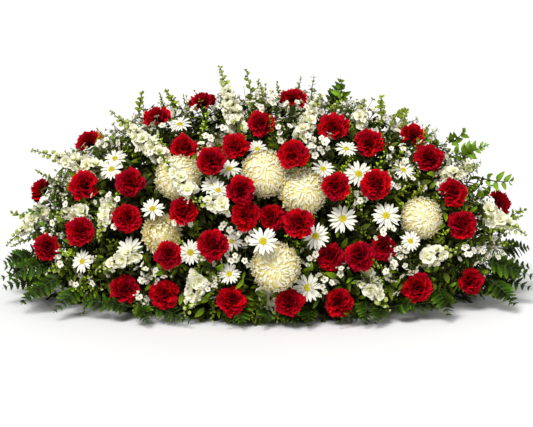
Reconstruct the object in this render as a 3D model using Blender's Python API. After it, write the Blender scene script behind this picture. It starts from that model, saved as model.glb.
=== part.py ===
"""A casket spray: a long dome of red carnations, cream chrysanthemums, daisies, white spikes and
greens, whose stems stand in a block of floral foam in a shallow tray.

Metres, +Z up. The origin is on the floor under the middle of the tray, +X runs along the spray
and -Y is its front. Each flower's place is written as millimetres across and up, as seen from
12.5 degrees above the front (or the back), and is then carried along that line of sight to the
dome. Every stem runs down through a hole in the greens to a hole of its own in the foam.
"""

import math
import random

import bpy
import numpy as np

MM = 0.001

# The dome on which the blooms' middles lie: half length, half depth and height over its centre.
DOME = np.array([490, 270, 300]) * MM
DOME_CENTRE = np.array([0, 0, 120]) * MM
SIGHT_UP = math.radians(12.5)
LEAST_RISE = 0.05  # a bloom's axis never points further down than this

# Where the stems of a spray fork: how far inside the dome, and how far from the spray's middle,
# each tried in turn until the stems pass clear; long stems bend to keep to the first inset.
FORK_INSETS = (0.058, 0.048, 0.064)
FORK_SPREADS = (0, 0.016, 0.032, 0.048, 0.064, 0.080)
FORK_TURNS = 12
FORK_LEAST_HEIGHT = 0.045
FORK_OVERLAP = 0.006
BEND_EVERY = 0.125
# Where a stem ends in the foam: its fork's x and y times these shares, within these limits.
ROOT_SHARES = (0.50, 0.30)
ROOT_LIMITS = (0.235, 0.066)
ROOT_HEIGHTS = (0.030, 0.16, 0.022, 0.090)  # at floor level, gain with the fork's, least and most

# The bed of greens: how far inside the dome its core's outer and inner faces lie, its lower edge
# and the heights of its outer rings.
BED_OUTER, BED_INNER = 0.092, 0.112
BED_FOOT = 0.038
BED_RINGS = (0.318, 0.280, 0.222, 0.150, 0.090)
BED_LEGS = ((-0.20, -0.045), (-0.18, 0.045), (0.18, 0.045), (0.20, -0.045))
BED_LEG_FOOT = 0.085
# Leafy tips of the bed: heights of their rows and the step along a row, and the reach and rise
# of their leaves, of which the first that finds room is taken.
BED_TIP_ROWS = (0.084, 0.146, 0.206, 0.260, 0.296, 0.309)
BED_TIP_STEP = 0.092
BED_TIP_FORMS = ((0.066, 0.026), (0.062, 0.012), (0.055, 0.006), (0.046, 0.004))
BED_TIP_TURNS = 3
BED_TIP_ROOT = 0.016
BED_TIP_STALK = 0.025
BED_TIP_FLOOR = 0.016

TRAY_LENGTH, TRAY_DEPTH, TRAY_HEIGHT = 0.560, 0.190, 0.024
TRAY_FLOOR, TRAY_WALL, TRAY_CORNER = 0.003, 0.0025, 0.030
FOAM_LENGTH, FOAM_DEPTH, FOAM_TOP = 0.510, 0.164, 0.125
FOAM_BEVEL = 0.012
SEAT_GAP = 0.0003
HOLE_GAP = 0.0020

STEM_RADIUS, TRUNK_RADIUS, LEG_RADIUS, SPRIG_RADIUS = 0.0024, 0.0044, 0.0056, 0.0016
CLEARANCE = 0.0012
GIVE = 0.050  # how far a bloom may be pushed in by one in front of it, less 0.7 of its radius
SAMPLE_STEP = 0.006

# Flowers seen from the front, one list for each spray of joined stems:
# across, up, diameter, lift towards the viewer, and how far the face turns to the viewer (0 to 1).
CARNATIONS = [
    [(-365, 320, 64, 0, 0.0), (-373, 230, 66, 0, 0.4), (-463, 221, 60, 0, 0.0)],
    [(-277, 236, 66, 10, 0.4), (-283, 164, 66, 10, 0.4)],
    [(-379, 137, 66, 10, 0.4), (-449, 105, 64, 0, 0.3)],
    [(-226, 369, 64, 0, 0.0), (-131, 400, 64, 0, 0.0)],
    [(-170, 308, 62, 0, 0.2), (-113, 279, 66, 10, 0.4), (-64, 310, 62, 0, 0.2)],
    [(-53, 221, 66, 15, 0.4), (-43, 170, 66, 15, 0.4), (10, 166, 60, -15, 0.4), (64, 154, 68, 15, 0.4)],
    [(-12, 357, 62, 0, 0.2), (53, 408, 62, 0, 0.0), (53, 293, 68, 10, 0.4)],
    [(135, 349, 70, 0, 0.3), (207, 318, 66, 0, 0.3)],
    [(139, 228, 64, 0, 0.4), (219, 232, 68, 10, 0.4)],
    [(299, 334, 60, -20, 0.2), (330, 287, 66, 10, 0.4)],
    [(379, 217, 64, 0, 0.4), (396, 150, 66, 10, 0.4), (478, 195, 60, 0, 0.0)],
    [(-289, 18, 66, 0, 0.5), (-209, 10, 68, 0, 0.5), (-199, 90, 62, 0, 0.4)],
    [(-170, 178, 62, -10, 0.4), (-109, 109, 70, 10, 0.4)],
    [(-72, -4, 66, 0, 0.5), (45, -6, 64, 0, 0.5)],
    [(146, -6, 66, 0, 0.5), (129, 84, 64, 0, 0.4), (187, 86, 68, 15, 0.4), (236, 105, 60, -20, 0.4)],
    [(305, 23, 68, 0, 0.5), (416, 35, 62, 0, 0.2)],
]
MUMS = [
    [(-180, 246, 94, -5, 0.5)],
    [(-4, 254, 98, 0, 0.5), (72, 217, 98, 0, 0.5)],
    [(18, 66, 100, 0, 0.6)],
    [(312, 164, 86, 0, 0.5)],
    [(-213, 131, 74, 0, 0.4)],
]
DAISIES = [
    [(-308, 283, 50, 0, 0.2), (-314, 262, 50, 8, 0.4), (-230, 182, 48, 0, 0.4)],
    [(-176, 353, 48, 0, 0.2), (-111, 226, 46, 0, 0.3), (-98, 221, 44, 12, 0.4)],
    [(-76, 262, 48, 0, 0.0), (-20, 303, 44, 0, 0.2)],
    [(-277, 100, 56, 0, 0.4), (-373, 76, 48, 0, 0.2)],
    [(-154, 94, 54, 0, 0.4), (-76, 51, 46, 0, 0.5), (-70, 117, 44, -15, 0.3), (-8, 117, 62, 10, 0.5)],
    [(78, 25, 60, 0, 0.5), (98, 127, 56, 0, 0.5), (152, 162, 60, 10, 0.5)],
    [(113, 262, 48, 0, 0.0), (185, 252, 60, 8, 0.4), (160, 303, 46, 0, 0.0)],
    [(240, 168, 60, 10, 0.5), (289, 117, 44, 0, 0.4), (275, 260, 46, 0, 0.0)],
]
# White spikes: tip across and up, how far out the tip stands, base across and up, and radius.
SPIKES = [
    [(-96, 474, 1.16, -61, 348, 14), (109, 416, 1.10, 68, 324, 13), (199, 406, 1.14, 185, 352, 12)],
    [(-480, 303, 1.18, -340, 262, 14), (-318, 381, 1.16, -213, 287, 14)],
    [(-531, 109, 1.12, -455, 180, 13), (-435, 170, 1.10, -363, 176, 13), (-342, 120, 1.10, -318, 196, 12),
     (-342, 31, 1.06, -260, 70, 13)],
    [(-168, -40, 1.06, -135, 47, 15), (23, -46, 1.05, -4, 20, 14)],
    [(-219, 297, 1.12, -150, 212, 13), (-148, 201, 1.08, -80, 190, 14)],
    [(248, -27, 1.06, 195, 47, 15), (385, 100, 1.08, 318, 84, 15)],
    [(529, 129, 1.14, 443, 178, 14), (430, 273, 1.14, 346, 240, 13)],
]
# The same, seen from the back, with across running to the spray's left.
BACK_CARNATIONS = [
    [(-330, 150, 66, 0, 0.2), (-262, 92, 66, 0, 0.3), (-258, 212, 64, 0, 0.2)],
    [(-62, 96, 66, 0, 0.3), (-22, 176, 66, 0, 0.2), (46, 128, 66, 0, 0.3), (98, 66, 64, 0, 0.3)],
    [(258, 96, 66, 0, 0.3), (326, 158, 66, 0, 0.2), (250, 222, 64, 0, 0.2), (396, 112, 64, 0, 0.2)],
]
BACK_MUMS = [[(-130, 246, 92, 0, 0.2)], [(142, 196, 94, 0, 0.2)]]
BACK_DAISIES = [[(-172, 150, 52, 0, 0.2), (-160, 84, 54, 0, 0.3), (-118, 118, 46, 0, 0.3)]]
BACK_SPIKES = [
    [(-66, 372, 1.16, -52, 300, 13), (18, 384, 1.16, 10, 300, 13), (86, 366, 1.14, 62, 300, 13)],
]

# Sprigs: tip across and up, how far out, base across and up, and the leaves' reach and pairs, or
# for waxflower only the florets' reach.
SPRIGS = {
    "eucalyptus_top": [(-43, 467, 1.16, -29, 385, 17, 5), (96, 452, 1.18, 92, 385, 17, 4),
                       (150, 446, 1.18, 150, 396, 20, 3)],
    "eucalyptus_right": [(234, 412, 1.16, 235, 370, 16, 4), (285, 384, 1.14, 262, 372, 16, 3),
                         (400, 344, 1.16, 372, 318, 24, 3), (443, 310, 1.16, 395, 282, 24, 3)],
    "eucalyptus_left": [(-254, 420, 1.18, -262, 375, 15, 4), (-205, 425, 1.16, -180, 385, 15, 4)],
    "greens_left": [(-521, 174, 1.12, -470, 160, 17, 4), (-440, 60, 1.10, -405, 70, 17, 3)],
    "greens_right": [(528, 182, 1.12, 470, 150, 17, 4), (500, 240, 1.14, 440, 245, 24, 3)],
    "waxflower_left": [(-112, 40, 1.06, -118, 72, 10), (-236, 48, 1.06, -240, 78, 10)],
    "waxflower_right": [(256, 50, 1.06, 262, 84, 11), (292, 64, 1.06, 286, 92, 10)],
}
# Fans of fern fronds round the foot: the point where a fan's stalks part, and then each frond's
# tip and half width.
FERNS = {
    "fern_left": ((-420, -20, 14), [(-541, -70, 24, 27), (-541, 34, 44, 27), (-500, -150, 8, 27)]),
    "fern_front_left": ((-260, -190, 14), [(-405, -222, 6, 24), (-330, -262, 6, 24),
                                           (-240, -284, 6, 24), (-150, -282, 6, 24)]),
    "fern_front_middle": ((10, -200, 14), [(-85, -292, 6, 24), (-10, -302, 6, 22), (62, -300, 6, 24)]),
    "fern_front_right": ((240, -190, 14), [(140, -286, 6, 24), (215, -292, 6, 24), (300, -276, 6, 24),
                                           (390, -235, 6, 25)]),
    "fern_right": ((420, -20, 14), [(541, -76, 24, 27), (541, 30, 48, 27), (500, -160, 8, 27)]),
    "fern_back_left": ((-200, 200, 14), [(-340, 240, 6, 32), (-210, 286, 6, 32), (-90, 290, 6, 32)]),
    "fern_back_right": ((150, 200, 14), [(40, 292, 6, 32), (180, 296, 6, 32), (320, 256, 6, 32)]),
}
FERN_LEAFLETS = 5
FERN_STALK = 0.32
FERN_THICKNESS = 0.0024
FERN_ARCH = 0.005
FERN_ROOT_HEIGHT = 0.040
FERN_OVERLAP = 0.004

COLOURS = {
    "red_petals": ((0.42, 0.004, 0.010), 0.6),
    "cream_petals": ((0.87, 0.80, 0.60), 0.6),
    "white_petals": ((0.88, 0.88, 0.84), 0.6),
    "floret_white": ((0.85, 0.85, 0.70), 0.6),
    "wax_petals": ((0.86, 0.82, 0.76), 0.5),
    "fern_green": ((0.025, 0.085, 0.018), 0.55),
    "leaf_green": ((0.045, 0.130, 0.030), 0.5),
    "sprig_green": ((0.10, 0.19, 0.07), 0.5),
    "foam_green": ((0.030, 0.110, 0.045), 0.95),
    "tray_plastic": ((0.012, 0.020, 0.014), 0.45),
}


def unit(vector):
    """The vector with length 1."""
    return vector / np.linalg.norm(vector)


def at_inset(point, inset):
    """The point on the same line from the dome's centre that lies this far inside the dome."""
    away = point - DOME_CENTRE
    return DOME_CENTRE + away / np.linalg.norm(away / (DOME - inset))


def sight(side):
    """The directions across, up and towards the viewer, for the front (1) or the back (-1)."""
    across = np.array([side, 0, 0], float)
    up = np.array([0, side * math.sin(SIGHT_UP), math.cos(SIGHT_UP)])
    towards = np.array([0, -side * math.cos(SIGHT_UP), math.sin(SIGHT_UP)])
    return across, up, towards


def on_dome(across_mm, up_mm, side=1, grow=1.0):
    """Where a line of sight first meets the dome grown by a factor, or passes closest to it."""
    across, up, towards = sight(side)
    start = across * across_mm * MM + up * up_mm * MM
    scaled = (start - DOME_CENTRE) / (DOME * grow)
    along = towards / (DOME * grow)
    a, b, c = along @ along, scaled @ along, scaled @ scaled - 1
    inside = max(b * b - a * c, 0.0)
    return start + towards * (-b + math.sqrt(inside)) / a


def outward(point):
    """The dome's normal under a point, never turned far down."""
    normal = unit((point - DOME_CENTRE) / DOME**2)
    normal[2] = max(normal[2], LEAST_RISE)
    return unit(normal)


def basis(axis, turn=0.0):
    """Two directions across an axis, turned about it by an angle."""
    helper = np.array([0, 0, 1.0]) if abs(axis[2]) < 0.9 else np.array([1.0, 0, 0])
    first = unit(np.cross(helper, axis))
    second = np.cross(axis, first)
    return (first * math.cos(turn) + second * math.sin(turn),
            second * math.cos(turn) - first * math.sin(turn))


class Skin:
    """A closed surface, stitched from rings of points between two end points."""

    def __init__(self):
        self.points, self.faces = [], []

    def add(self, ring):
        """Stores a ring of points and returns their numbers."""
        first = len(self.points)
        self.points += [tuple(p) for p in np.atleast_2d(ring)]
        return list(range(first, len(self.points)))

    def stitch(self, upper, lower):
        """Joins two rings, or a ring and a point, with triangles; between rings of the same count
        each four-sided patch is split along its shorter diagonal, so tips stay sharp."""
        n, m = len(upper), len(lower)
        if n == m:
            for i in range(n):
                k = (i + 1) % n
                falling = math.dist(self.points[upper[i]], self.points[lower[k]])
                rising = math.dist(self.points[upper[k]], self.points[lower[i]])
                if rising <= falling:
                    self.faces += [(upper[i], lower[i], upper[k]), (upper[k], lower[i], lower[k])]
                else:
                    self.faces += [(upper[i], lower[i], lower[k]), (upper[i], lower[k], upper[k])]
            return
        i = j = 0
        while i < (n if n > 1 else 0) or j < (m if m > 1 else 0):
            if m == 1 or (n > 1 and i < n and (j >= m or (i + 1) / n <= (j + 1) / m)):
                self.faces.append((upper[i % n], lower[j % m], upper[(i + 1) % n]))
                i += 1
            else:
                self.faces.append((upper[i % n], lower[j % m], lower[(j + 1) % m]))
                j += 1

    def through(self, rings):
        """Stitches the rings in order; each is an array of one or more points."""
        numbered = [self.add(ring) for ring in rings]
        for upper, lower in zip(numbered, numbered[1:]):
            self.stitch(upper, lower)
        if len(numbered[-1]) > 2:
            self.faces.append(tuple(reversed(numbered[-1])))
        if len(numbered[0]) > 2:
            self.faces.append(tuple(numbered[0]))
        return self


def ring(centre, first, second, axis, rows):
    """Points round an axis; rows gives (radius, height) by turns, as many as there are points."""
    count = len(rows)
    angle = np.arange(count) * 2 * math.pi / count
    radius = np.array([r for r, _ in rows])[:, None]
    height = np.array([h for _, h in rows])[:, None]
    return (centre + radius * (np.cos(angle)[:, None] * first + np.sin(angle)[:, None] * second)
            + height * axis)


def tiers(centre, axis, radius, turn, rows):
    """Petal tiers: each row gives its petals, tip radius and height, and valley radius and height,
    in parts of the bloom's radius; every other tier is turned by half a petal."""
    first, second = basis(axis, turn)
    made = []
    for i, (petals, tip_r, tip_h, dip_r, dip_h) in enumerate(rows):
        pair = [(tip_r * radius, tip_h * radius), (dip_r * radius, dip_h * radius)]
        if i % 2:
            pair.reverse()
        made.append(ring(centre, first, second, axis, pair * petals))
    return made


def round_ring(centre, axis, radius, sides, turn, drop):
    """A plain ring round an axis, dropped below the centre."""
    first, second = basis(axis, turn)
    return ring(centre, first, second, axis, [(radius, drop)] * sides)


def tube_rings(path, radii, first):
    """Three-sided rings along a path, each square to the mean of the runs beside it, untwisted."""
    made = []
    side = first
    for i, point in enumerate(path):
        before = unit(path[i] - path[i - 1]) if i else unit(path[1] - path[0])
        after = unit(path[i + 1] - path[i]) if i + 1 < len(path) else before
        axis = unit(before + after)
        side = unit(side - axis * (side @ axis))
        made.append(ring(point, side, np.cross(side, axis), -axis, [(radii[i], 0)] * 3))
    return made


# Tiers of petals from the middle out: petals, tip radius and height, valley radius and height, in
# parts of the bloom's radius.
CARNATION_ROWS = [
    (3, 0.40, 0.60, 0.26, 0.40),
    (5, 0.80, 0.34, 0.56, 0.14),
    (5, 1.00, -0.04, 0.78, -0.16),
]
MUM_ROWS = [
    (3, 0.26, 0.66, 0.16, 0.56),
    (6, 0.54, 0.58, 0.38, 0.44),
    (6, 0.79, 0.36, 0.62, 0.22),
    (6, 0.97, 0.04, 0.80, -0.04),
    (6, 0.98, -0.30, 0.74, -0.30),
]
DAISY_ROWS = [(9, 1.0, -0.02, 0.55, -0.02)]


def carnation(head, path):
    """Three tiers of ruffled petals over a calyx that runs out into the stem."""
    centre, axis, radius, turn = head["centre"], head["axis"], head["radius"], head["turn"]
    rings = [centre + axis * radius * 0.50]
    rings += tiers(centre, axis, radius, turn, CARNATION_ROWS)
    rings.append(round_ring(centre, axis, radius * 0.29, 3, turn, -radius * 0.54))
    return Skin().through(rings + stem_rings(head, path))


def mum(head, path):
    """Five tiers of incurved petals, full to the back."""
    centre, axis, radius, turn = head["centre"], head["axis"], head["radius"], head["turn"]
    rings = [centre + axis * radius * 0.62]
    rings += tiers(centre, axis, radius, turn, MUM_ROWS)
    rings.append(round_ring(centre, axis, radius * 0.30, 6, turn, -radius * 0.60))
    return Skin().through(rings + stem_rings(head, path))


def daisy(head, path):
    """A star of petals that rises to its disc in the middle."""
    centre, axis, radius, turn = head["centre"], head["axis"], head["radius"], head["turn"]
    rings = [centre + axis * radius * 0.26]
    rings += tiers(centre, axis, radius, turn, DAISY_ROWS)
    rings.append(round_ring(centre, axis, radius * 0.20, 3, turn, -radius * 0.24))
    return Skin().through(rings + stem_rings(head, path))


def stem_rings(head, path):
    """The calyx's narrow end and the stem down to the path's last point; a trunk is thicker."""
    last = TRUNK_RADIUS if head.get("trunk") else STEM_RADIUS
    radii = [STEM_RADIUS] * (len(path) - 2) + [last] * 2
    return tube_rings(path, radii, basis(head["axis"], head["turn"])[0])


def spike(head, path):
    """Tiers of lobed florets that grow from buds at the tip, and then the stem."""
    tip, base, radius = head["tip"], head["centre"], head["radius"]
    axis = unit(tip - base)
    first, second = basis(axis, head["turn"])
    length = np.linalg.norm(tip - base)
    count = max(3, round(length / (radius * 2.2)))
    rings = [tip]
    for i in range(count):
        share = (i + 0.5) / count
        size = radius * (0.42 + 0.58 * min(1.0, 1.7 * share))
        place = tip - axis * length * share
        lobes = [(size, 0.25 * size), (size * 0.55, 0)]
        if i % 2:
            lobes.reverse()
        rings.append(ring(place, first, second, axis, lobes * 3))
        if i + 1 < count:
            neck = tip - axis * length * (i + 1.02) / count
            rings.append(ring(neck, first, second, axis, [(size * 0.42, 0)] * 3))
    return Skin().through(rings + stem_rings(head, path))


def sprig(head, path):
    """Opposite pairs of small pointed leaves, each pair turned square to the last, on a stem."""
    tip, base, reach, pairs = head["tip"], head["centre"], head["radius"], head["pairs"]
    axis = unit(tip - base)
    first, second = basis(axis, head["turn"])
    length = np.linalg.norm(tip - base)
    rings = [tip]
    for i in range(pairs):
        share = (i + 0.6) / pairs
        out = reach * (0.55 + 0.45 * min(1.0, 2.0 * share))
        place = tip - axis * length * share
        leaf = [(out, out * 0.35), (SPRIG_RADIUS, 0)]
        if i % 2:
            leaf.reverse()
        rings.append(ring(place, first, second, axis, leaf * 2))
        if i + 1 < pairs:
            neck = tip - axis * length * (i + 1.1) / pairs
            rings.append(ring(neck, first, second, axis, [(SPRIG_RADIUS * 1.3, 0)] * 4))
    return Skin().through(rings + stem_rings(head, path))


def frond(fork_point, root, tip, half_width):
    """One thin arched blade with leaflets cut almost to its rib, thick at the rib and sharp
    outside, whose stalk runs on from its first leaflets to the fork."""
    along = tip - root
    across = unit(np.cross(along, [0, 0, 1.0]))
    shares = np.arange(FERN_LEAFLETS + 2) / (FERN_LEAFLETS + 1)
    rise = 4 * FERN_ARCH * shares * (1 - shares)
    rib = root + along * shares[:, None] + rise[:, None] * np.array([0, 0, 1.0])
    half = np.array([0, 0, FERN_THICKNESS / 2])
    skin = Skin()
    top, low = skin.add(rib[1:-1] + half), skin.add(rib[1:-1] - half)
    end = skin.add(rib[-1] + unit(along) * half_width * 0.3)[0]
    dips = []
    for side in (1, -1):
        edge = []
        for i in range(1, FERN_LEAFLETS + 1):
            reach = half_width * min(1.0, 1.25 - shares[i]) * min(1.0, 0.72 + shares[i])
            lean = rib[i] + (rib[i + 1] - rib[i]) * 0.75
            edge += [rib[i] + side * across * half_width * 0.13,
                     lean + side * across * reach - np.array([0, 0, reach * 0.12])]
        numbered = skin.add(edge) + [end]
        dips.append(numbered[0])
        for k in range(FERN_LEAFLETS):
            dip, point, after = numbered[2 * k:2 * k + 3]
            patch = [(dip, point), (point, after)]
            for rim, turned in ((top, side < 0), (low, side > 0)):
                faces = [(rim[k], a, b) for a, b in patch]
                if k + 1 < FERN_LEAFLETS:
                    faces.append((rim[k], after, rim[k + 1]))
                skin.faces += [f[::-1] if turned else f for f in faces]
    neck = [top[0], dips[1], low[0], dips[0]]
    shrink = STEM_RADIUS / (half_width * 0.13)
    foot = skin.add([fork_point + (np.array(skin.points[n]) - rib[1]) * (shrink if k % 2 else 1.6)
                     for k, n in enumerate(neck)])
    skin.stitch(foot, neck)
    skin.faces.append(tuple(foot))
    return skin


class Space:
    """What is taken: balls along every stem and round every bloom, by the node that holds them."""

    def __init__(self):
        self.centres = np.zeros((0, 3))
        self.radii = np.zeros(0)
        self.owners = np.zeros(0, int)

    def take(self, centres, radii, owner):
        """Adds balls that belong to a node."""
        centres = np.atleast_2d(centres)
        self.centres = np.vstack([self.centres, centres])
        self.radii = np.concatenate([self.radii, np.broadcast_to(radii, len(centres))])
        self.owners = np.concatenate([self.owners, np.full(len(centres), owner)])

    def clash(self, centres, radii, owner, gap=CLEARANCE):
        """How deep the deepest of these balls runs into another node's."""
        others = self.owners != owner
        if not others.any():
            return -1.0
        apart = np.linalg.norm(np.atleast_2d(centres)[:, None] - self.centres[others][None], axis=2)
        wanted = np.broadcast_to(radii, len(np.atleast_2d(centres)))[:, None] + self.radii[others][None]
        return float((wanted + gap - apart).max())


def beads(path):
    """Points at even steps along a path."""
    made = []
    for a, b in zip(path, path[1:]):
        count = max(1, math.ceil(np.linalg.norm(b - a) / SAMPLE_STEP))
        made += [a + (b - a) * i / count for i in range(count)]
    return np.array(made + [path[-1]])


def settle(heads, towards):
    """Draws blooms of different sprays that would touch apart along the line of sight."""
    for _ in range(60):
        moved = False
        for i, one in enumerate(heads):
            for other in heads[i + 1:]:
                if one["spray"] != other["spray"]:
                    moved = push_apart(one, other, towards) or moved
        if not moved:
            break


def push_apart(one, other, towards):
    """Moves two heads half way each along the sight line until their balls are clear."""
    (p, r), (q, s) = one["balls"], other["balls"]
    between = q[None] - p[:, None]
    wanted = (r[:, None] + s[None] + CLEARANCE) ** 2
    square = (between ** 2).sum(axis=2)
    if not (square < wanted).any():
        return False
    depth = between @ towards
    side = square - depth * depth
    lack = np.where(square < wanted, np.sqrt(np.maximum(wanted - side, 0)) - np.abs(depth), 0)
    worst = np.unravel_index(lack.argmax(), lack.shape)
    behind, nearer = (one, other) if depth[worst] >= 0 else (other, one)
    whole = lack[worst] + 0.0001
    back = min(whole / 2, behind["give"])
    behind["give"] -= back
    for head, shift in ((behind, -back * towards), (nearer, (whole - back) * towards)):
        head["centre"] = head["centre"] + shift
        if "tip" in head:
            head["tip"] = head["tip"] + shift
        head["balls"] = (head["balls"][0] + shift, head["balls"][1])
    return True


def round_head(spray, row, side, rng):
    """A bloom that faces out of the dome, turned partly to the viewer."""
    across_mm, up_mm, diameter, lift, facing = row
    _, _, towards = sight(side)
    centre = on_dome(across_mm, up_mm, side)
    axis = unit(outward(centre) * (1 - facing) + towards * facing)
    centre = centre + towards * lift * MM
    radius = diameter / 2 * MM
    return {"spray": spray, "centre": centre, "axis": axis, "radius": radius,
            "turn": rng.uniform(0, math.tau), "give": max(GIVE - radius * 0.7, 0.0),
            "balls": (np.array([centre]), np.array([radius]))}


def long_head(spray, row, side, rng, balls_radius=None):
    """A spike or sprig that stands from a base near the dome out to its tip."""
    tip_across, tip_up, grow, base_across, base_up, radius = row[:6]
    tip = on_dome(tip_across, tip_up, side, grow)
    base = on_dome(base_across, base_up, side, 0.96)
    reach = radius * MM
    beaded = beads([base, tip])
    head = {"spray": spray, "centre": base, "tip": tip, "axis": unit(tip - base), "radius": reach,
            "turn": rng.uniform(0, math.tau), "give": GIVE / 2,
            "balls": (beaded, np.full(len(beaded), (balls_radius or reach) + 0.001))}
    if len(row) > 6:
        head["pairs"] = row[6]
    return head


def find_room(stalk, owner, space):
    """Moves a sprig along the line of sight until it is clear of what stands there."""
    towards = sight(1)[2]
    for shift in (0, 8, -8, 16, -16, 24, -24, 32, 40):
        balls = stalk["balls"][0] + towards * shift * MM
        if space.clash(balls, stalk["balls"][1], owner) <= 0:
            break
    else:
        print(f"{stalk['spray']}: no room for a sprig")
    for key in ("centre", "tip"):
        stalk[key] = stalk[key] + towards * shift * MM
    stalk["balls"] = (balls, stalk["balls"][1])


def root_for(fork_point):
    """Where in the foam a stem from this fork ends."""
    x, y = (np.clip(fork_point[k] * ROOT_SHARES[k], -ROOT_LIMITS[k], ROOT_LIMITS[k]) for k in (0, 1))
    floor_height, gain, least, most = ROOT_HEIGHTS
    return np.array([x, y, np.clip(floor_height + gain * fork_point[2], least, most)])


def branch_path(head, fork_point):
    """From the narrow end of a calyx, or the foot of a spike, to the fork, bent round the dome."""
    start = head["centre"] - head["axis"] * head.get("back", head["radius"] * 1.15)
    bends = int(np.linalg.norm(fork_point - start) / BEND_EVERY)
    path = [start]
    for i in range(bends):
        between = start + (fork_point - start) * (i + 1) / (bends + 1)
        path.append(at_inset(between, FORK_INSETS[0]))
    return path + [fork_point]


def find_fork(heads, owner, space):
    """Tries places near the middle of a spray until its stems pass clear of all the others."""
    middle = np.mean([h["centre"] for h in heads], axis=0)
    best = None
    for spread in FORK_SPREADS:
        for turn in range(FORK_TURNS if spread else 1):
            angle = math.tau * turn / FORK_TURNS
            first, second = basis(outward(middle))
            shifted = middle + spread * (first * math.cos(angle) + second * math.sin(angle))
            for inset in FORK_INSETS:
                fork_point = at_inset(shifted, inset)
                fork_point[2] = max(fork_point[2], FORK_LEAST_HEIGHT)
                root = root_for(fork_point)
                paths = [beads(branch_path(h, fork_point)) for h in heads]
                worst = space.clash(beads([fork_point, root]), TRUNK_RADIUS, owner)
                for path in paths:
                    worst = max(worst, space.clash(path[1:], STEM_RADIUS, owner))
                if best is None or worst < best[0]:
                    best = (worst, fork_point, root)
                if worst <= 0:
                    return best
    return best


def fern_root(fan_point, owner, space):
    """Where a fan of fronds stands in the foam's side, moved along until its stem is clear."""
    best = None
    for shift in (0, 0.010, -0.010, 0.020, -0.020, 0.030, -0.030, 0.040, -0.040):
        root = np.array([fan_point[0] * ROOT_SHARES[0] + shift, fan_point[1] * ROOT_SHARES[1],
                         FERN_ROOT_HEIGHT])
        worst = space.clash(beads([fan_point, root]), TRUNK_RADIUS, owner)
        if best is None or worst < best[0]:
            best = (worst, root)
    if best[0] > 0:
        print(f"fan at {fan_point}: {best[0] * 1000:.1f} mm too near another stem")
    return best[1]


SHAPES = {"carnation": carnation, "mum": mum, "daisy": daisy, "spike": spike, "sprig": sprig}


def grow_spray(name, kind, heads, owner, space):
    """The closed skins of one spray; the first head's stem is the trunk that the others join."""
    worst, fork_point, root = find_fork(heads, owner, space)
    if worst > 0:
        print(f"{name}: stems {worst * 1000:.1f} mm too near another")
    down = unit(root - fork_point)
    skins = []
    for i, head in enumerate(heads):
        path = branch_path(head, fork_point)
        head["trunk"] = i == 0 and len(heads) > 1
        path = path + [root] if i == 0 else path[:-1] + [fork_point + down * FORK_OVERLAP]
        skins.append(SHAPES[kind](head, path))
        space.take(beads(path), TRUNK_RADIUS if head["trunk"] else STEM_RADIUS, owner)
        if i == 0:
            last = stem_rings(head, path)[-1]
    radius = TRUNK_RADIUS if len(heads) > 1 else STEM_RADIUS
    return skins, {"fork": fork_point, "root": root, "radius": radius, "first": unit(last[0] - root)}


def material(name):
    """A plain surface with a colour and a roughness."""
    colour, roughness = COLOURS[name]
    made = bpy.data.materials.get(name) or bpy.data.materials.new(name)
    made.use_nodes = True
    shader = made.node_tree.nodes["Principled BSDF"]
    shader.inputs["Base Color"].default_value = (*colour, 1)
    shader.inputs["Roughness"].default_value = roughness
    shader.inputs["Metallic"].default_value = 0.0
    return made


def solid(name, skin, origin, collection=None):
    """An object from a skin, its origin at a point of its own."""
    mesh = bpy.data.meshes.new(name)
    points = [tuple(np.array(p) - origin) for p in skin.points]
    mesh.from_pydata(points, [], skin.faces)
    mesh.validate()
    made = bpy.data.objects.new(name, mesh)
    made.location = origin
    (collection or bpy.context.scene.collection).objects.link(made)
    return made


def apply_boolean(target, operation, tools):
    """Unites or cuts an object with a collection of others, and removes them. The manifold solver
    is the one that leaves no gaps on stems as thin as these."""
    cutters = bpy.data.collections.new(f"{target.name}_tools")
    bpy.context.scene.collection.children.link(cutters)
    for tool in tools:
        for owner in list(tool.users_collection):
            owner.objects.unlink(tool)
        cutters.objects.link(tool)
    modifier = target.modifiers.new(operation.lower(), "BOOLEAN")
    modifier.operation = operation
    modifier.operand_type = "COLLECTION"
    modifier.collection = cutters
    modifier.solver = "MANIFOLD"
    bpy.context.view_layer.update()
    evaluated = target.evaluated_get(bpy.context.evaluated_depsgraph_get())
    finished = bpy.data.meshes.new_from_object(evaluated)
    target.modifiers.clear()
    target.data = finished
    for tool in tools:
        bpy.data.objects.remove(tool)
    bpy.data.collections.remove(cutters)


def fuse(name, skins, finish, origin):
    """One object whose skins are joined to a single body."""
    made = solid(name, skins[0], origin)
    if len(skins) > 1:
        parts = [solid(f"{name}_{i}", s, origin) for i, s in enumerate(skins[1:])]
        apply_boolean(made, "UNION", parts)
    made.data.materials.clear()
    made.data.materials.append(material(finish))
    return made


def hole_tool(name, seat, origin):
    """A three-sided prism a little wider than a stem, along it and a little past its end."""
    down = unit(seat["root"] - seat["fork"])
    path = [seat["fork"] + down * 0.010, seat["root"] + down * SEAT_GAP]
    rings = tube_rings(path, [seat["radius"] + HOLE_GAP] * 2, seat["first"])
    return solid(name, Skin().through(rings), origin)


def hole_tools(name, seats):
    """One such prism for each stem."""
    return [hole_tool(f"{name}_hole_{i}", seat, np.zeros(3)) for i, seat in enumerate(seats)]


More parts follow.
